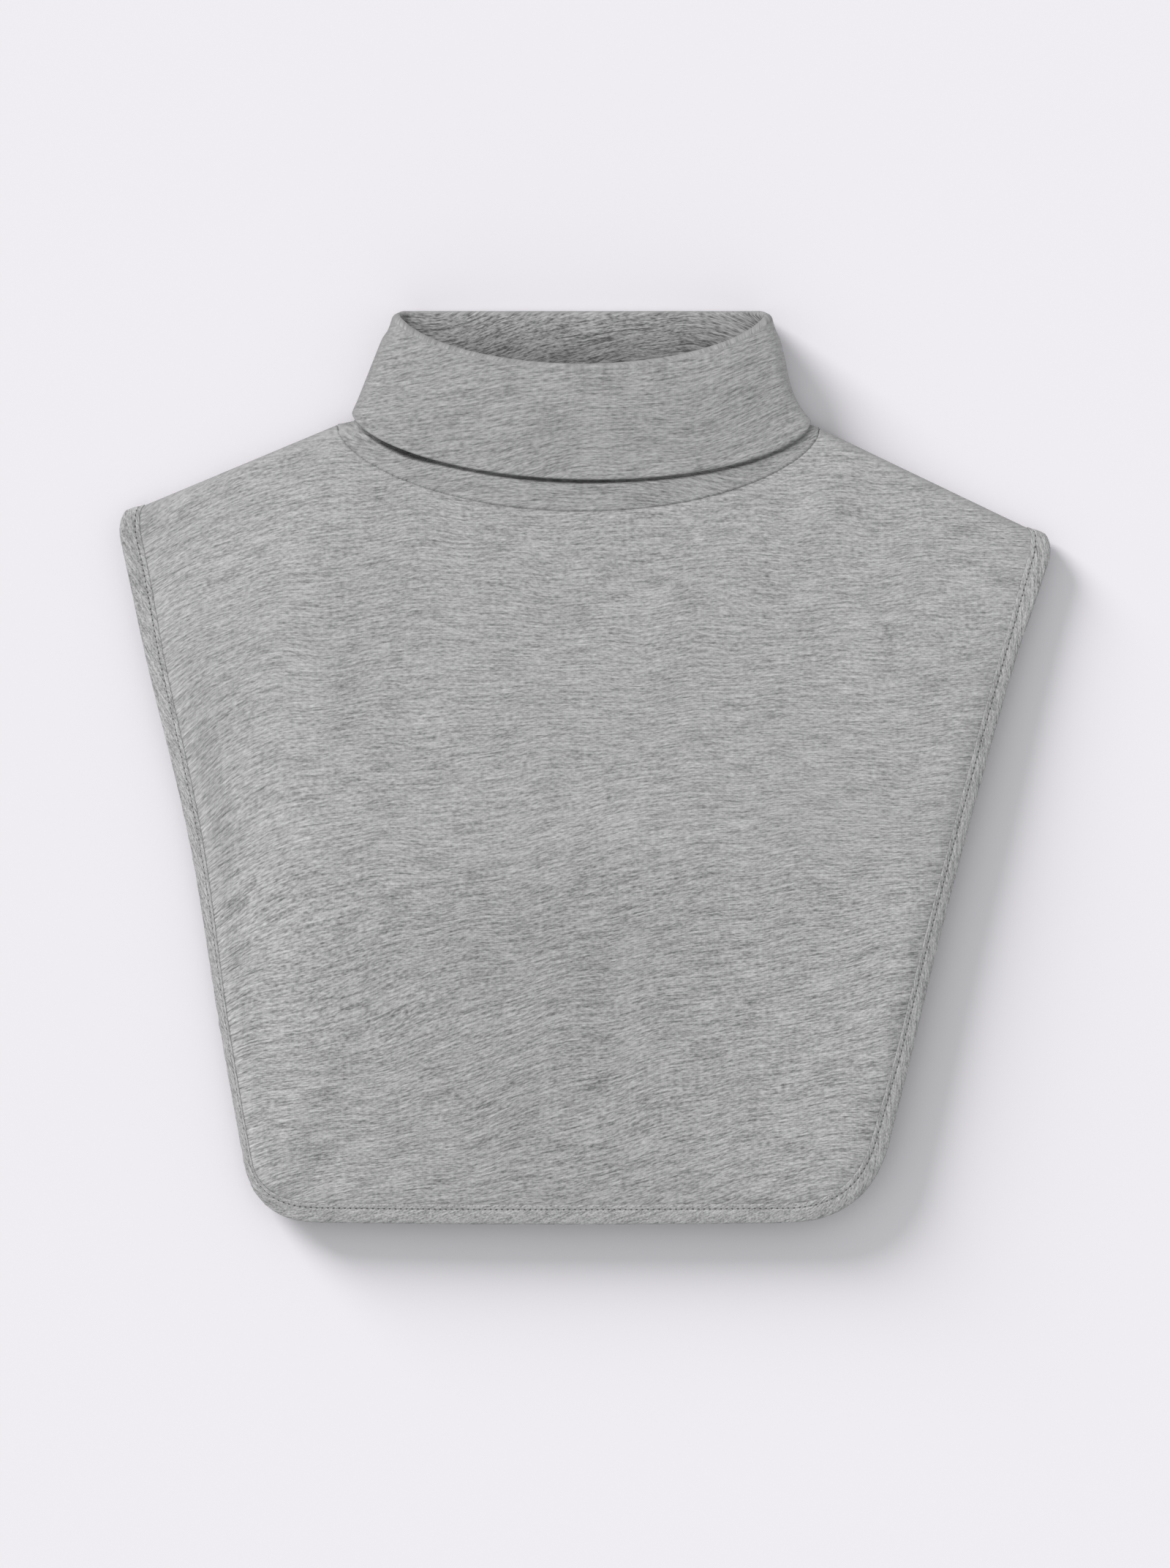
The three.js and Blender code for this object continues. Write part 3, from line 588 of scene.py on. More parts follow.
collar = {
    "neckHalfWidth": 98.5,
    "neckRise": 42.2,
    "neckShift": -3,
    "neckSkew": 0.7,
    "neckDip": 33.6,
    "backNeckDip": 13,
    "neckLoft": 9.5,
    "standHeight": 47.9,
    "rimHalfWidth": 78.0,
    "rimShift": -1.4,
    "rimDip": 22.2,
    "rimLoft": 22,
    "rollDepth": 44.4,
    "rollHalfWidth": 94.5,
    "rollShift": -1.5,
    "rollSkew": 1.7,
    "rollDip": 25.0,
    "rollBackDip": 3,
    "rollLift": 1.8,
    "sideTuck": 3.1,
    "frontSteps": 150,  # even steps of a loop between its side folds
    "backSteps": 130,
    "standRuns": [(0, 0.03, 7), (0.03, 0.06, 5), (0.06, 0.24, 44), (0.24, 0.985, 24)],  # start, end, loops
    "rimLoops": 12,
    "rollLoops": 36,
    "rollEnd": (0.972, 0.981, 0.985, 0.989, 0.993, 0.997, 1.0),  # loops close together round its edge
    "rollEndRound": 0.85,
    "turnedSteps": (3.0, 1.2, 0.5, 0.35, 0.2, 0.1),  # how far each loop of the turned-in seam lies in
    "turnedOver": 0.5,
    "turnedDrop": 1.1,
    "turnedWall": 0.8,
    "hug": 1.35,  # the roll's lower edge lies this much closer to the stand in front
    "wedges": [(-8, 34, 0.9), (-74, 9, 2.0)],  # centre, reach and height of where it stands off
    "grooves": [(-8, 45, 1.2), (-74, 13, 2.8), (0, 200, 1.7)],  # centre, reach and depth
    "grooveDrop": 0.45,  # below the roll's edge
    "grooveWidth": 0.75,
    "grooveSwell": (-74, 11, 0.8),  # centre, reach and share by which it is wider there
    "groovePaintedShade": 0.12,  # painted shade in the groove, for each millimetre of its depth
    "endRounding": 5,  # how far in from its two ends the rim is rounded
    "endDepth": 14,
    "endDrop": 2.6,
    "swells": [(0.42, 52, 21, 1.5), (0.12, 20, 22, 1.8)],  # height, length, seed and stretch
    "waves": [(1.6, 80, 23, 1.0), (0.5, 30, 24, 1.0)],  # the same for its courses
    "standSlope": 0.03,  # how steeply the courses run up to the right
    "insideSlope": 0.24,
    "rollSlope": 0.13,
    "rollRightRise": 9,
    # painted shade inside the back of the collar, the first near the rim and the second lower down
    "insidePaintedShade": 0.08,
    "deepPaintedShade": 0.34,
    "insideStreaks": 0.8,
    "rightPaintedLight": 0.26,  # painted light: the fold at the roll's right is shaded by this much less than the other folds
}
rimFold = cloth["collarWall"] + 0.4
neckSideY = body["length"] + collar["neckRise"]
rimY = neckSideY + collar["standHeight"]
frontColumns = 2 * foldPoints + collar["frontSteps"] - 1  # of a whole loop's points
standSteps = np.unique(np.concatenate([np.linspace(*run) for run in collar["standRuns"]]))
rollSteps = np.concatenate([np.linspace(0.015, 0.96, collar["rollLoops"]), collar["rollEnd"]])
standFlare = [(0.0, 1.0), (0.01, 0.6), (0.03, 0.12), (0.075, 0.0)]
rollPuff = [(0.0, 0.0), (0.12, 0.15), (0.32, 0.3), (0.55, 0.28), (0.78, 0.12), (0.93, 0.03), (1.0, 0.0)]


def neckLoop():
    # a loop is the line round the flattened collar at one height; its power shapes its dips
    return {
        "centre": collar["neckShift"],
        "halfWidth": collar["neckHalfWidth"],
        "sideY": neckSideY,
        "skew": collar["neckSkew"],
        "frontDip": collar["neckDip"],
        "backDip": collar["backNeckDip"],
        "power": 1.22,
        "sideZ": body["seamHeight"],
        "frontEdgeZ": body["seamHeight"] + 0.45 * collar["neckLoft"],
        "frontMidZ": body["seamHeight"] + collar["neckLoft"],
        "round": body["foldRound"] * 1.08,
    }


def standTopLoop():
    backZ = cloth["collarWall"] / 2 + rimFold
    return {
        "centre": collar["rimShift"],
        "halfWidth": collar["rimHalfWidth"] - cloth["collarWall"] / 2 - rimFold,
        "sideY": rimY - rimFold / 2 - cloth["collarWall"] / 2,
        "skew": 0,
        "frontDip": collar["rimDip"],
        "backDip": 0,
        "power": 1.2,
        "sideZ": backZ + 0.46 * collar["rimLoft"],
        "frontEdgeZ": backZ + 0.8 * collar["rimLoft"],
        "frontMidZ": backZ + collar["rimLoft"],
        "round": 4 + body["foldRound"],
    }


def mixLoops(a, b, t):
    return {key: mix(a[key], b[key], t) for key in a}


def rollTopLoop():
    loop = standTopLoop()
    loop["halfWidth"] += rimFold
    loop["frontEdgeZ"] += rimFold
    loop["frontMidZ"] += rimFold
    loop["round"] += rimFold / 2
    return loop


def rollEdgeLoop():
    foot = mixLoops(neckLoop(), standTopLoop(), 1 - collar["rollDepth"] / collar["standHeight"])
    return dict(
        foot,
        centre=collar["rollShift"],
        halfWidth=collar["rollHalfWidth"] - cloth["rollHemWall"] / 2,
        sideY=rimY - collar["rollDepth"],
        skew=collar["rollSkew"],
        frontDip=collar["rollDip"],
        backDip=collar["rollBackDip"],
        power=1.2,
        sideZ=foot["sideZ"] + 0.5,
        frontEdgeZ=foot["frontEdgeZ"] + rimFold + 0.3 * collar["rollLift"],
        frontMidZ=foot["frontMidZ"] + rimFold + collar["rollLift"],
        round=foot["round"] + rimFold / 2,
    )


def loopTrace(loop, dip):
    # half a loop in plan, from its left end to its right end, with the length run so far
    t = np.linspace(0, 1, 900)
    angle = math.pi * (t - np.sin(2 * math.pi * t) / (2 * math.pi) * 0.9)
    across = np.maximum(0, np.sin(angle)) ** loop["power"]
    x = loop["centre"] - loop["halfWidth"] * np.cos(angle)
    y = loop["sideY"] + loop["skew"] * np.cos(angle) - dip * across
    run = np.concatenate([[0], np.cumsum(np.hypot(np.diff(x), np.diff(y)))])
    return {"x": x, "y": y, "run": run, "angle": angle}


def loopPoints(loop, trace, front, run, backHeight):
    x = np.interp(run, trace["run"], trace["x"])
    y = np.interp(run, trace["run"], trace["y"])
    angle = np.interp(run, trace["run"], trace["angle"])
    total = trace["run"][-1]
    share = foldShare(np.minimum(run, total - run), loop["round"])
    rise = np.maximum(0, np.sin(angle)) ** 1.5
    plain = mix(loop["frontEdgeZ"], loop["frontMidZ"], rise) if front else backHeight(y)
    z = loop["sideZ"] + (plain - loop["sideZ"]) * share
    return x, y, z, plain


def standBackHeight(y):
    edge = rimY - collar["rollDepth"] - collar["rollBackDip"]
    ride = smooth((y - edge + rimFold + 5) / 5)
    return cloth["collarWall"] / 2 + rimFold * ride


def flatAt(height):
    return lambda y: np.full_like(y, height)


def loopRuns(total, roundness, evenSteps):
    near = roundness * (1 - np.cos(foldAngles))
    even = mix(roundness, total - roundness, np.arange(1, evenSteps) / evenSteps)
    return np.concatenate([near, even, (total - near)[::-1]])


def wholeLoop(loop, backHeight):
    # its points from left to right over the front and back again under it
    front = loopTrace(loop, loop["frontDip"])
    runs = loopRuns(front["run"][-1], loop["round"], collar["frontSteps"])
    over = np.stack(loopPoints(loop, front, True, runs, backHeight)[:3], axis=1)
    back = loopTrace(loop, loop["backDip"])
    runs = loopRuns(back["run"][-1], loop["round"], collar["backSteps"])[::-1][1:-1]
    under = np.stack(loopPoints(loop, back, False, runs, backHeight)[:3], axis=1)
    return np.concatenate([over, under])


def tuckAt(down):
    held = min(1.0, max(0.0, down))
    return collar["sideTuck"] * max(0.0, math.sin(math.pi * held**2.2))


def tucked(loop):
    tuck = tuckAt((rimY - loop["sideY"]) / collar["rollDepth"])
    loop["halfWidth"] -= tuck / 2
    loop["centre"] -= tuck / 2
    return loop


def standLoop(along):
    neck, top, edge = neckLoop(), standTopLoop(), rollEdgeLoop()
    loop = mixLoops(neck, top, along)
    reach = (edge["sideY"] - neck["sideY"]) / (top["sideY"] - neck["sideY"])
    foot = edge["halfWidth"] - rimFold - (cloth["rollHemWall"] - cloth["collarWall"]) / 2
    straight = top["halfWidth"] + (foot - top["halfWidth"]) * (1 - along) / (1 - reach)
    flare = float(np.interp(along, *zip(*standFlare)))
    loop["halfWidth"] = mix(straight, neck["halfWidth"], flare)
    loop["centre"] = mix(mix(collar["rollShift"], collar["rimShift"], along), neck["centre"], flare)
    return tucked(loop)


def rollLoop(along):
    loop = mixLoops(rollTopLoop(), rollEdgeLoop(), along)
    loop["frontMidZ"] += readTable(rollPuff, 1, along) * collar["rollLift"]
    return tucked(loop)


def turnedLoop(foot, reach):
    # the foot loop moved in under the panels, except at its two side folds
    ahead = np.roll(foot, -1, axis=0) - np.roll(foot, 1, axis=0)
    ahead = ahead[:, :2] / np.linalg.norm(ahead[:, :2], axis=1, keepdims=True)
    side = np.minimum(foot[:, 0] - foot[:, 0].min(), foot[:, 0].max() - foot[:, 0])
    facing = np.where(np.arange(len(foot)) < frontColumns, 1.0, -1.0)
    share = ramp(side, 1.5, 7.5) * facing
    drop = collar["turnedDrop"] * smooth(reach / collar["turnedOver"]) * ramp(side, 0.5, 2.5) * facing
    move = np.stack([ahead[:, 1] * reach * share, -ahead[:, 0] * reach * share, -drop], axis=1)
    return foot + move


def collarLoops():
    # from the turned-in seam up the stand, over the rim and down the roll, with the wall at each loop
    wall, hemWall = cloth["collarWall"], cloth["rollHemWall"]
    foot = wholeLoop(standLoop(0.0), standBackHeight)
    loops, walls = [], []
    for reach in collar["turnedSteps"]:
        loops.append(turnedLoop(foot, reach))
        walls.append(mix(wall, collar["turnedWall"], smooth(reach / collar["turnedOver"])))
    for along in standSteps:
        loops.append(wholeLoop(standLoop(along), standBackHeight))
        walls.append(wall)
    for angle in np.radians(np.linspace(0, 180, collar["rimLoops"])):
        over = (1 - math.cos(angle)) / 2
        loop = mixLoops(standTopLoop(), rollTopLoop(), over)
        loop["sideY"] += rimFold / 2 * math.sin(angle)
        loops.append(wholeLoop(loop, flatAt(wall / 2 + rimFold * (1 - over))))
        walls.append(wall)
    for along in rollSteps:
        plump = mix(wall, hemWall, ramp(along, 0.86, 0.95))
        fold = 1 - min(1.0, (1 - along) * collar["rollDepth"] / collar["rollEndRound"])
        loops.append(wholeLoop(rollLoop(along), flatAt(plump / 2)))
        walls.append(plump * math.sqrt(max(0.03, 1 - fold * fold)))
    return np.array(loops), np.array(walls)


def halfShare(columns, start, end):
    # 1 in the middle of the front or the back of a loop, 0 at its side folds and on the other half
    share = np.zeros(columns)
    share[start:end] = np.sin(np.linspace(0, math.pi, end - start)) ** 0.7
    return share


def makeCollar():
    grid, walls = collarLoops()
    rows, columns, _ = grid.shape
    firstRoll = rows - len(rollSteps)
    firstRim = firstRoll - collar["rimLoops"]
    around = np.array([stepRound(row) for row in grid])
    down = np.array([stepAlong(grid[:, c]) for c in range(0, columns, 8)]).mean(axis=0)[:, None]
    rollRow = (np.arange(rows) >= firstRoll)[:, None]
    isFront = halfShare(columns, 0, frontColumns)
    isBack = halfShare(columns, frontColumns, columns)
    # swells of the soft cloth, kept off the floor and off the sides
    x, y = grid[..., 0], grid[..., 1]
    away = ramp(y, rimY - 2, rimY - 12)
    grid[..., 2] += swells(x, y, collar["swells"]) * isFront * away * np.where(rollRow, 1.0, 0.25)
    lower = ramp((down - down[firstRoll]) / collar["rollDepth"], 0.375, 1) * rollRow
    wedge = sum(height * hump(x, centre, reach) for centre, reach, height in collar["wedges"])
    grid[..., 2] += (wedge - collar["hug"]) * isFront * lower
    normals = gridNormals(grid, True)  # before the narrow groove, in which the wall's sides would cross
    # the stand dips in a groove under the roll's lower edge, deepest and widest near its left end
    stand = slice(0, firstRim), slice(0, frontColumns)
    edgeY = np.interp(x[stand], x[-1, :frontColumns], y[-1, :frontColumns])
    centre, reach, share = collar["grooveSwell"]
    wide = collar["grooveWidth"] * (1 + share * hump(x[stand], centre, reach))
    depth = sum(part * hump(x[stand], centre, reach) for centre, reach, part in collar["grooves"])
    depth = depth * hump(y[stand], edgeY - collar["grooveDrop"], wide)
    groove = np.zeros(x.shape)
    groove[stand] = depth * smooth(isFront[:frontColumns] * 2.6 - 0.4)
    grid[..., 2] -= groove
    # the rim's two ends are rounded
    fromEnd = np.minimum(x - x[firstRoll].min(), x[firstRoll].max() - x)
    corner = np.clip(1 - fromEnd / collar["endRounding"], 0, 1.3) ** 2
    grid[..., 1] -= collar["endDrop"] * corner * ramp(y, rimY - collar["endDepth"], rimY)
    # the roll's courses slope up to the right, steeper near its right side; the stand's lie nearly
    # level where it faces up, slope inside the back and follow its loops at the side folds
    flat = y - neckSideY - collar["standSlope"] * x
    tilted = flat - collar["insideSlope"] * x
    across = down + (flat - down) * isFront + (tilted - down) * isBack
    sloped = rimY - y + collar["rollSlope"] * x + collar["rollRightRise"] * ramp(x, 35, 95) ** 2
    across = np.where(rollRow, sloped, across) + swells(x, y, collar["waves"])
    uv = np.stack([around - around[:, [frontColumns // 2]], across], axis=-1)
    # painted shade at the rim's turn, round the side folds and down inside the back, deeper lower down;
    # painted shade in the groove, and less of it, as painted light, on the roll's right fold
    leftFold, rightFold, rimTurn = np.zeros(columns), np.zeros(columns), np.zeros(rows)
    leftFold[:foldPoints] = np.cos(foldAngles)
    rightFold[frontColumns - foldPoints:frontColumns] = np.cos(foldAngles)[::-1]
    rimTurn[firstRim:firstRoll] = np.sin(np.linspace(0, math.pi, collar["rimLoops"]))
    turn = np.maximum(np.maximum(leftFold, rightFold), rimTurn[:, None])
    inside = np.where(rollRow, 0.0, smooth(isBack * 2.5))
    deep = mix(collar["insidePaintedShade"], collar["deepPaintedShade"], smooth((rimY - y) / collar["rimDip"]))
    folded = np.maximum(cloth["foldPaintedShade"] * turn, deep * inside)
    looks = {
        "shade": folded + collar["groovePaintedShade"] * groove - collar["rightPaintedLight"] * rightFold * rollRow,
        "streaks": 1 - cloth["foldStreaks"] * turn + collar["insideStreaks"] * inside * (1 - turn),
    }
    half = np.repeat(walls[:, None] / 2, columns, axis=1)
    return shell("collarCloth", grid, half, uv, looks, True, normals)


band = {
    "width": 8.6,
    "rightWidth": 7.2,  # the band shows narrower along the right edge
    "bite": 5.8,
    "foldHalf": 1.5,  # half the thickness at the folded edge
    "stitchInset": 2.0,  # stitch row inside the band's inner edge
    "stitchHeight": 0.9,  # and above its middle
    "puckers": [(0.09, 6.9, 0), (0.08, 11.3, 1)],  # height, length and phase along the stitched leg
    "courseSlope": 0.35,
    "streaks": 1.1,
}
bandThickness = cloth["panelWall"] + 2 * cloth["clearance"] + 2 * cloth["bandWall"]


def bandSection(width):
    # u runs in from the folded edge and w across; the legs thin out over the panel, with a groove
    # where the stitches pull them down
    outer = band["foldHalf"]
    groove = width - band["stitchInset"]
    top = [
        (width, 0.78), (width - 0.12, 0.9), (width - 0.5, 1.0), (groove + 0.75, 1.05),
        (groove + 0.4, 1.0), (groove, 0.88), (groove - 0.4, 1.04), (groove - 0.9, 1.2),
        (groove - 1.9, 1.36), (outer + 0.9, 1.48),
    ]
    fold = [(outer - outer * math.cos(a), outer * math.sin(a)) for a in np.radians([72, 54, 36, 18])]
    outside = top + fold + [(0.0, 0.0)] + [(u, -w) for u, w in fold[::-1]] + [(u, -w) for u, w in top[::-1]]
    near = cloth["panelWall"] / 2 + 0.06
    deep = outer + 0.3
    inside = [(width, -near), (deep, -near), (cloth["bandWall"], 0.0), (deep, near), (width, near)]
    return np.array(outside + inside)


def bandWidths():
    # full width along the lower edge and the left, narrower up the right edge
    x, y = np.array([spot["point"][:2] for spot in spots]).T
    top = body["length"] - 12
    narrow = ramp(y, 20, 80) * ramp(x, 60, 100) * ramp(y, top, top - 40)
    return mix(band["width"], band["rightWidth"], narrow)


def makeBand():
    wide, narrow = bandSection(band["width"]), bandSection(band["rightWidth"])
    share = (band["width"] - bandWidths()) / (band["width"] - band["rightWidth"])
    section = mix(wide, narrow, share[:, None, None])
    keys = "point", "inward", "facing"
    place, inward, facing = (np.array([spot[key] for spot in spots]) for key in keys)
    run = stepRound(place)[:, None]
    pucker = 0
    for height, length, phase in band["puckers"]:
        pucker = pucker + height * np.sin(run * 2 * math.pi / length + phase)
    u, w = section[..., 0], section[..., 1]
    u = u + 0.5 * pucker * (u > band["rightWidth"] - 0.2)
    w = w * (1 + pucker * (w > 1.15))
    points = place[:, None] + inward[:, None] * u[..., None] + facing[:, None] * w[..., None]
    points = points.reshape(-1, 3)
    across = stepAlong(wide) + band["courseSlope"] * run
    uv = np.stack(np.broadcast_arrays(run, across), axis=-1).reshape(-1, 2)
    index = np.arange(len(points)).reshape(u.shape)
    nextSpot, nextPoint = np.roll(index, -1, axis=0), np.roll(index, -1, axis=1)
    faces = quads(index, nextPoint, np.roll(nextSpot, -1, axis=1), nextSpot)
    print("dickey: band", round(float(run[-1, 0])), "mm round the edges")
    piece = makeMesh("edgeBandCloth", points, outwards(points, faces), uv)
    paint(piece, "streaks", np.full(len(points), band["streaks"]))
    return piece


print("dickey: outline")
stations = outlineStations()
spots = edgeFrames(stations)
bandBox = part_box("edge_band")
bandX = [spot["point"][0] for spot in spots]
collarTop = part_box("collar")[1][1] * 1000
planShift[:] = (bandBox[0][0] + bandBox[1][0]) * 500 - (min(bandX) + max(bandX)) / 2, collarTop - rimY
print("dickey: placed by", planShift.round(3).tolist())

print("dickey: panels")
frontPanel = panel("frontPanelCloth", True, body["rowsFront"])
backPanel = panel("backPanelCloth", False, body["rowsBack"])
print("dickey: collar and band")
collarCloth = makeCollar()
bandCloth = makeBand()


def addNode(tree, kind, inputs=None, **settings):
    # one node with its settings, its values and the links into it
    node = tree.nodes.new(kind)
    for key, value in settings.items():
        setattr(node, key, value)
    for key, value in (inputs or {}).items():
        if isinstance(value, bpy.types.NodeSocket):
            tree.links.new(value, node.inputs[key])
        else:
            node.inputs[key].default_value = value
    return node


stitching = {  # in millimetres, by the names of the node group's inputs
    "Pitch": 2.3,
    "Length": 1.55,
    "Thickness": 0.36,
    "Hole Length": 1.0,  # needle holes between the stitches, their shade painted on dark beads
    "Hole Width": 0.8,
}


def stitchTree():
    tree = bpy.data.node_groups.new("bandStitches", "GeometryNodeTree")
    add = partial(addNode, tree)
    sockets = [("Geometry", "Geometry")] + [(name, "Float") for name in stitching]
    for name, kind in sockets + [("Thread", "Material"), ("Hole", "Material")]:
        tree.interface.new_socket(name, in_out="INPUT", socket_type="NodeSocket" + kind)
    tree.interface.new_socket("Geometry", in_out="OUTPUT", socket_type="NodeSocketGeometry")
    source = add("NodeGroupInput").outputs
    # the guide is a chain of edges that carries the band's facing direction
    curve = add("GeometryNodeMeshToCurve", {"Mesh": source["Geometry"]})
    halfPitch = add("ShaderNodeMath", {0: source["Pitch"], 1: 0.5}, operation="MULTIPLY")
    spacing = {"Curve": curve.outputs[0], "Length": halfPitch.outputs[0]}
    even = add("GeometryNodeResampleCurve", spacing, mode="LENGTH")
    index = add("GeometryNodeInputIndex")
    parity = add("ShaderNodeMath", {0: index.outputs[0], 1: 2.0}, operation="MODULO")
    facing = add("GeometryNodeInputNamedAttribute", {"Name": "facing"}, data_type="FLOAT_VECTOR")
    axes = {"Primary Axis": add("GeometryNodeInputTangent").outputs[0], "Secondary Axis": facing.outputs[0]}
    turn = add("FunctionNodeAxesToRotation", axes, primary_axis="X", secondary_axis="Z")
    spread = {"Min": (0, 0, -0.1), "Max": (0, 0, 0.1), "Seed": 4}
    wobble = add("FunctionNodeRandomValue", spread, data_type="FLOAT_VECTOR")
    turns = {"Rotation": turn.outputs[0], "Rotate By": wobble.outputs[0]}
    turned = add("FunctionNodeRotateRotation", turns, rotation_space="LOCAL")
    bead = add("GeometryNodeMeshUVSphere", {"Segments": 8, "Rings": 6, "Radius": 0.5})
    made = []
    # thread beads, and dark beads carrying the painted shade of the needle holes between them
    for operation, length, width, material in (
        ("LESS_THAN", "Length", "Thickness", "Thread"),
        ("GREATER_THAN", "Hole Length", "Hole Width", "Hole"),
    ):
        halves = {"A": parity.outputs[0], "B": 0.5}
        chosen = add("FunctionNodeCompare", halves, data_type="FLOAT", operation=operation)
        size = {"X": source[length], "Y": source[width], "Z": source["Thickness"]}
        placed = add("GeometryNodeInstanceOnPoints", {
            "Points": even.outputs[0], "Selection": chosen.outputs[0], "Instance": bead.outputs["Mesh"],
            "Rotation": turned.outputs[0], "Scale": add("ShaderNodeCombineXYZ", size).outputs[0]})
        real = add("GeometryNodeRealizeInstances", {"Geometry": placed.outputs[0]})
        dressed = {"Geometry": real.outputs[0], "Material": source[material]}
        made.append(add("GeometryNodeSetMaterial", dressed))
    joined = add("GeometryNodeJoinGeometry")
    for part in made:
        tree.links.new(part.outputs[0], joined.inputs[0])
    add("NodeGroupOutput", {"Geometry": joined.outputs[0]})
    return tree


def stitchGuide():
    # a closed chain of edges along the stitch row
    rowInset = bandWidths() - band["stitchInset"]
    points = np.array([
        spot["point"] + spot["inward"] * inset + spot["facing"] * band["stitchHeight"]
        for spot, inset in zip(spots, rowInset)
    ])
    points[:, :2] += planShift
    count = len(points)
    mesh = bpy.data.meshes.new("stitchGuide")
    mesh.from_pydata((points * 0.001).tolist(), [(i, (i + 1) % count) for i in range(count)], [])
    facing = mesh.attributes.new("facing", "FLOAT_VECTOR", "POINT")
    facing.data.foreach_set("vector", np.array([spot["facing"] for spot in spots]).ravel())
    return link("stitchGuide", mesh)


def makeStitches(thread, hole):
    guide = stitchGuide()
    tree = stitchTree()
    modifier = guide.modifiers.new("stitches", "NODES")
    modifier.node_group = tree
    values = {name: size * 0.001 for name, size in stitching.items()}
    values.update({"Thread": thread, "Hole": hole})
    for item in tree.interface.items_tree:
        if item.in_out == "INPUT" and item.name in values:
            modifier[item.identifier] = values[item.name]
    evaluated = guide.evaluated_get(bpy.context.evaluated_depsgraph_get())
    mesh = bpy.data.meshes.new_from_object(evaluated)
    mesh.name = "bandStitches"
    print("dickey:", len(mesh.polygons), "faces of stitches")
    guide.modifiers.remove(modifier)
    bpy.data.objects.remove(guide)
    mesh.polygons.foreach_set("use_smooth", np.ones(len(mesh.polygons), dtype=bool))
    return link("bandStitches", mesh)


def linear(hexColour):
    parts = [int(hexColour[i:i + 2], 16) / 255 for i in (1, 3, 5)]
    return tuple(p / 12.92 if p <= 0.04045 else ((p + 0.055) / 1.055) ** 2.4 for p in parts) + (1.0,)


def newMaterial(name):
    material = bpy.data.materials.new(name)
    material.use_nodes = True
    material.node_tree.nodes.clear()
    return material, partial(addNode, material.node_tree)


marl = {
    "dark": ("#6a6a6b", 0.29),  # colour and place on the ramp
    "shade": ("#959595", 0.435),
    "ground": ("#aaaaaa", 0.52),
    "light": ("#c8c8c8", 0.7),
    # length and width in millimetres along the courses, shift, detail, roughness and weight
    "long": (16.0, 1.0, 3.1, 2.0, 0.55, 0.31),
    "short": (4.48, 0.7, 7.7, 2.0, 0.6, 0.3),
    "fleck": (1.76, 0.6, 5.2, 1.0, 0.5, 0.29),
    "cloud": (24.0, 7.0, 11.3, 2.0, 0.5, 0.08),
    "middle": 0.49,
    "waleSpacing": 0.9,  # real wales are 0.7 apart, too fine for this picture, so they are drawn coarser
    "waleHeight": 0.25,  # against the streaks' height
    "streakHeight": 0.9,
    "roughness": 0.96,
}


def marlJersey(name, tone, streak=1.0, seedShift=0.0):
    # combed cotton dyed in the fibre and knitted as single jersey: dark and light fibres show as
    # short streaks along the courses, over fine upright wales, with a soft dry bloom
    material, add = newMaterial(name)
    uv = add("ShaderNodeUVMap", uv_map="courses").outputs[0]

    def pattern(key):
        # a noise in cells of the layer's length by its width; only the streaks change with the piece
        length, width, shift, detail, roughness, _ = marl[key]
        scale = (1000 / (length if key == "cloud" else length * streak), 1000 / width, 1)
        location = (shift + seedShift, shift, shift)
        place = add("ShaderNodeMapping", {"Vector": uv, "Scale": scale, "Location": location})
        grain = {"Vector": place.outputs[0], "Scale": 1.0, "Detail": detail, "Roughness": roughness}
        return add("ShaderNodeTexNoise", grain, noise_dimensions="2D").outputs["Fac"]

    def math2(operation, a, b, clamp=False):
        return add("ShaderNodeMath", {0: a, 1: b}, operation=operation, use_clamp=clamp).outputs[0]

    short = pattern("short")
    total = math2("MULTIPLY", short, marl["short"][-1])
    for key in ("long", "fleck", "cloud"):
        total = math2("ADD", total, math2("MULTIPLY", pattern(key), marl[key][-1]))
    streaks = add("ShaderNodeAttribute", attribute_name="streaks").outputs["Fac"]
    spread = math2("MULTIPLY", math2("SUBTRACT", total, marl["middle"]), streaks)
    tones = add("ShaderNodeValToRGB", {"Fac": math2("ADD", spread, marl["middle"])})
    stops = tones.color_ramp.elements
    for key in ("shade", "ground"):
        stops.new(marl[key][1])
    for stop, key in zip(stops, ("dark", "shade", "ground", "light")):
        stop.color = linear(marl[key][0])
        stop.position = marl[key][1]
    # the shade attribute holds painted shade, and painted light where it is negative, taken off the
    # colour's value
    shade = add("ShaderNodeAttribute", attribute_name="shade").outputs["Fac"]
    value = {"Color": tones.outputs[0], "Saturation": 1.0, "Value": math2("SUBTRACT", tone, shade)}
    toned = add("ShaderNodeHueSaturation", value)
    # the wave node turns twenty times for each unit of its scale
    waleScale = 2 * math.pi * 1000 / (20 * marl["waleSpacing"])
    ribs = {"Vector": uv, "Scale": waleScale, "Distortion": 0.6, "Detail": 1.0}
    wales = add("ShaderNodeTexWave", ribs, wave_type="BANDS", bands_direction="X")
    ribHeight = math2("MULTIPLY", wales.outputs["Fac"], marl["waleHeight"])
    height = math2("ADD", ribHeight, math2("MULTIPLY", short, marl["streakHeight"]))
    strength = math2("MULTIPLY", streaks, 0.3, clamp=True)
    bump = add("ShaderNodeBump", {"Height": height, "Strength": strength, "Distance": 0.00025})
    shader = add("ShaderNodeBsdfPrincipled", {
        "Base Color": toned.outputs[0], "Roughness": marl["roughness"], "IOR": 1.46,
        "Specular IOR Level": 0.12, "Sheen Weight": 0.03, "Sheen Roughness": 0.5,
        "Normal": bump.outputs[0]})
    add("ShaderNodeOutputMaterial", {"Surface": shader.outputs[0]})
    return material


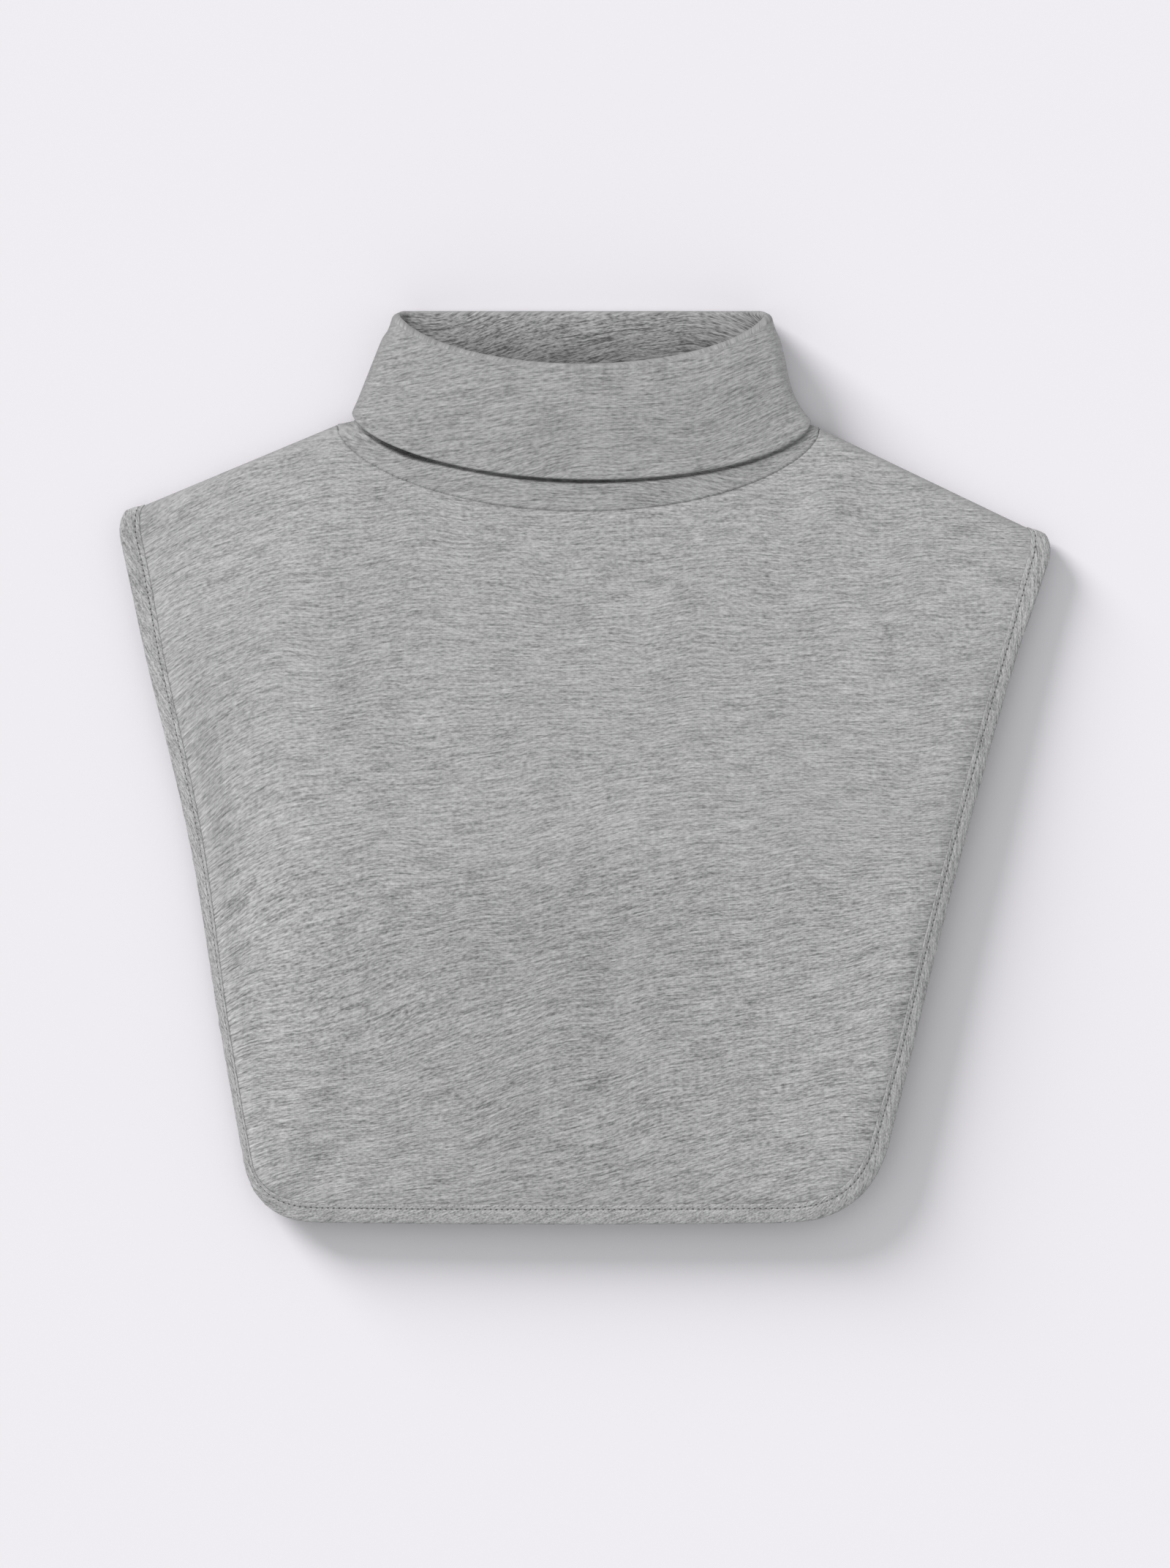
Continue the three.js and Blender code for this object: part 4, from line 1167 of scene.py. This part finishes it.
def grainedMaterial(name, grain, dark, light, finish):
    # a fine random grain between two greys
    material, add = newMaterial(name)
    coordinate = add("ShaderNodeTexCoord").outputs["Object"]
    noise = add("ShaderNodeTexNoise", {"Vector": coordinate, "Scale": grain, "Detail": 1.0})
    tones = add("ShaderNodeValToRGB", {"Fac": noise.outputs["Fac"]})
    for stop, hexColour in zip(tones.color_ramp.elements, (dark, light)):
        stop.color = linear(hexColour)
    shader = add("ShaderNodeBsdfPrincipled", {"Base Color": tones.outputs[0], **finish})
    add("ShaderNodeOutputMaterial", {"Surface": shader.outputs[0]})
    return material


def threadMaterial():
    # spun polyester sewing thread, matched to the cloth: smooth with a faint sheen
    finish = {"Roughness": 0.7, "IOR": 1.5}
    return grainedMaterial("grey spun polyester thread", 2600.0, "#7d7d7d", "#a6a6a6", finish)


def paintedHoleShadeMaterial():
    # painted shade of the needle holes between the stitches: small dark beads where the knit has pits
    finish = {"Roughness": 1.0, "Specular IOR Level": 0.0}
    name = "grey marl cotton single jersey, needle hole, painted shade"
    return grainedMaterial(name, 900.0, "#484848", "#767676", finish)


print("dickey: materials")
bodyMaterial = marlJersey("grey marl cotton single jersey, body", 1.045)
collarMaterial = marlJersey("grey marl cotton single jersey, collar", 1.0, 1.25, 40.0)
bandMaterial = marlJersey("grey marl cotton single jersey, binding", 1.06, 0.55, 80.0)
threadGrey = threadMaterial()
paintedHoleShade = paintedHoleShadeMaterial()
for piece, material in (
    (frontPanel, bodyMaterial),
    (backPanel, bodyMaterial),
    (collarCloth, collarMaterial),
    (bandCloth, bandMaterial),
):
    piece.data.materials.append(material)

print("dickey: stitches")
stitches = makeStitches(threadGrey, paintedHoleShade)

for piece, node, slot in (
    (frontPanel, "front_panel", "body_jersey"),
    (backPanel, "back_panel", "body_jersey"),
    (collarCloth, "collar", "collar_jersey"),
    (bandCloth, "edge_band", "band_jersey"),
):
    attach(piece, "root")
    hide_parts(node)
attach(stitches, "root")


setting = {
    "floor": "#f0edf2",
    "floorRise": 17.5,  # degrees above the floor of the key that lights the floor and throws the shadow
    "clothRise": 44,  # and of the one that lights the cloth
    "floorSpread": 25,  # degrees across each of the two, which softens the shadow
    "clothSpread": 34,
    "keyBearing": 134,  # degrees from +X towards +Y
    "keyShare": 0.41,  # share of the light on a level surface that comes from the key
    "skyShare": 0.6,
    "cameraHeight": 6.0,
    "viewHeight": 0.6432,  # height of the picture on the floor, in metres
    "viewCentreY": -0.0068,
}


def makeFloor():
    mesh = bpy.data.meshes.new("floor")
    reach = 3.0
    corners = [(-reach, -reach, 0), (reach, -reach, 0), (reach, reach, 0), (-reach, reach, 0)]
    mesh.from_pydata(corners, [], [(0, 1, 2, 3)])
    floor = link("floor", mesh)
    floor.location = (0, 0, -0.0002)
    material, add = newMaterial("matt pale paper")
    coordinate = add("ShaderNodeTexCoord").outputs["Object"]
    grain = add("ShaderNodeTexNoise", {"Vector": coordinate, "Scale": 900.0})
    bump = add("ShaderNodeBump", {"Height": grain.outputs["Fac"], "Strength": 0.03, "Distance": 0.0002})
    shader = add("ShaderNodeBsdfPrincipled", {
        "Base Color": linear(setting["floor"]), "Roughness": 0.95, "Specular IOR Level": 0.1,
        "Normal": bump.outputs[0]})
    add("ShaderNodeOutputMaterial", {"Surface": shader.outputs[0]})
    mesh.materials.append(material)
    return floor


def makeLights(floor, pieces):
    # a broad key from the upper left, lower over the floor, whose shadow falls to the lower right
    for name, lit in (("floor", [floor]), ("cloth", pieces)):
        key = bpy.data.lights.new(name + "Key", "SUN")
        rise = math.radians(setting[name + "Rise"])
        key.energy = math.pi * setting["keyShare"] / math.sin(rise)
        key.angle = math.radians(setting[name + "Spread"])
        key.color = linear("#fffdfe")[:3]
        lamp = link(name + "Key", key)
        bearing = math.radians(setting["keyBearing"])
        reach = math.cos(rise)
        toLight = Vector((math.cos(bearing) * reach, math.sin(bearing) * reach, math.sin(rise)))
        lamp.rotation_euler = toLight.to_track_quat("Z", "Y").to_euler()
        receivers = bpy.data.collections.new(name + "Lit")
        for piece in lit:
            receivers.objects.link(piece)
        lamp.light_linking.receiver_collection = receivers
    world = bpy.data.worlds.new("soft sky")
    world.use_nodes = True
    sky = world.node_tree.nodes["Background"]
    sky.inputs["Color"].default_value = linear("#fdfffe")
    sky.inputs["Strength"].default_value = setting["skyShare"]
    bpy.context.scene.world = world
    bpy.context.scene.view_settings.view_transform = "Standard"


def makeCamera():
    data = bpy.data.cameras.new("camera")
    data.type = "PERSP"
    data.sensor_fit = "VERTICAL"
    data.sensor_height = 24
    data.lens = 24 * setting["cameraHeight"] / setting["viewHeight"]
    data.clip_end = 20
    camera = link("camera", data)
    camera.location = (0, setting["viewCentreY"], setting["cameraHeight"])
    bpy.context.scene.camera = camera


print("dickey: stage")
makeLights(makeFloor(), (frontPanel, backPanel, collarCloth, bandCloth, stitches))
makeCamera()


print("dickey: done")
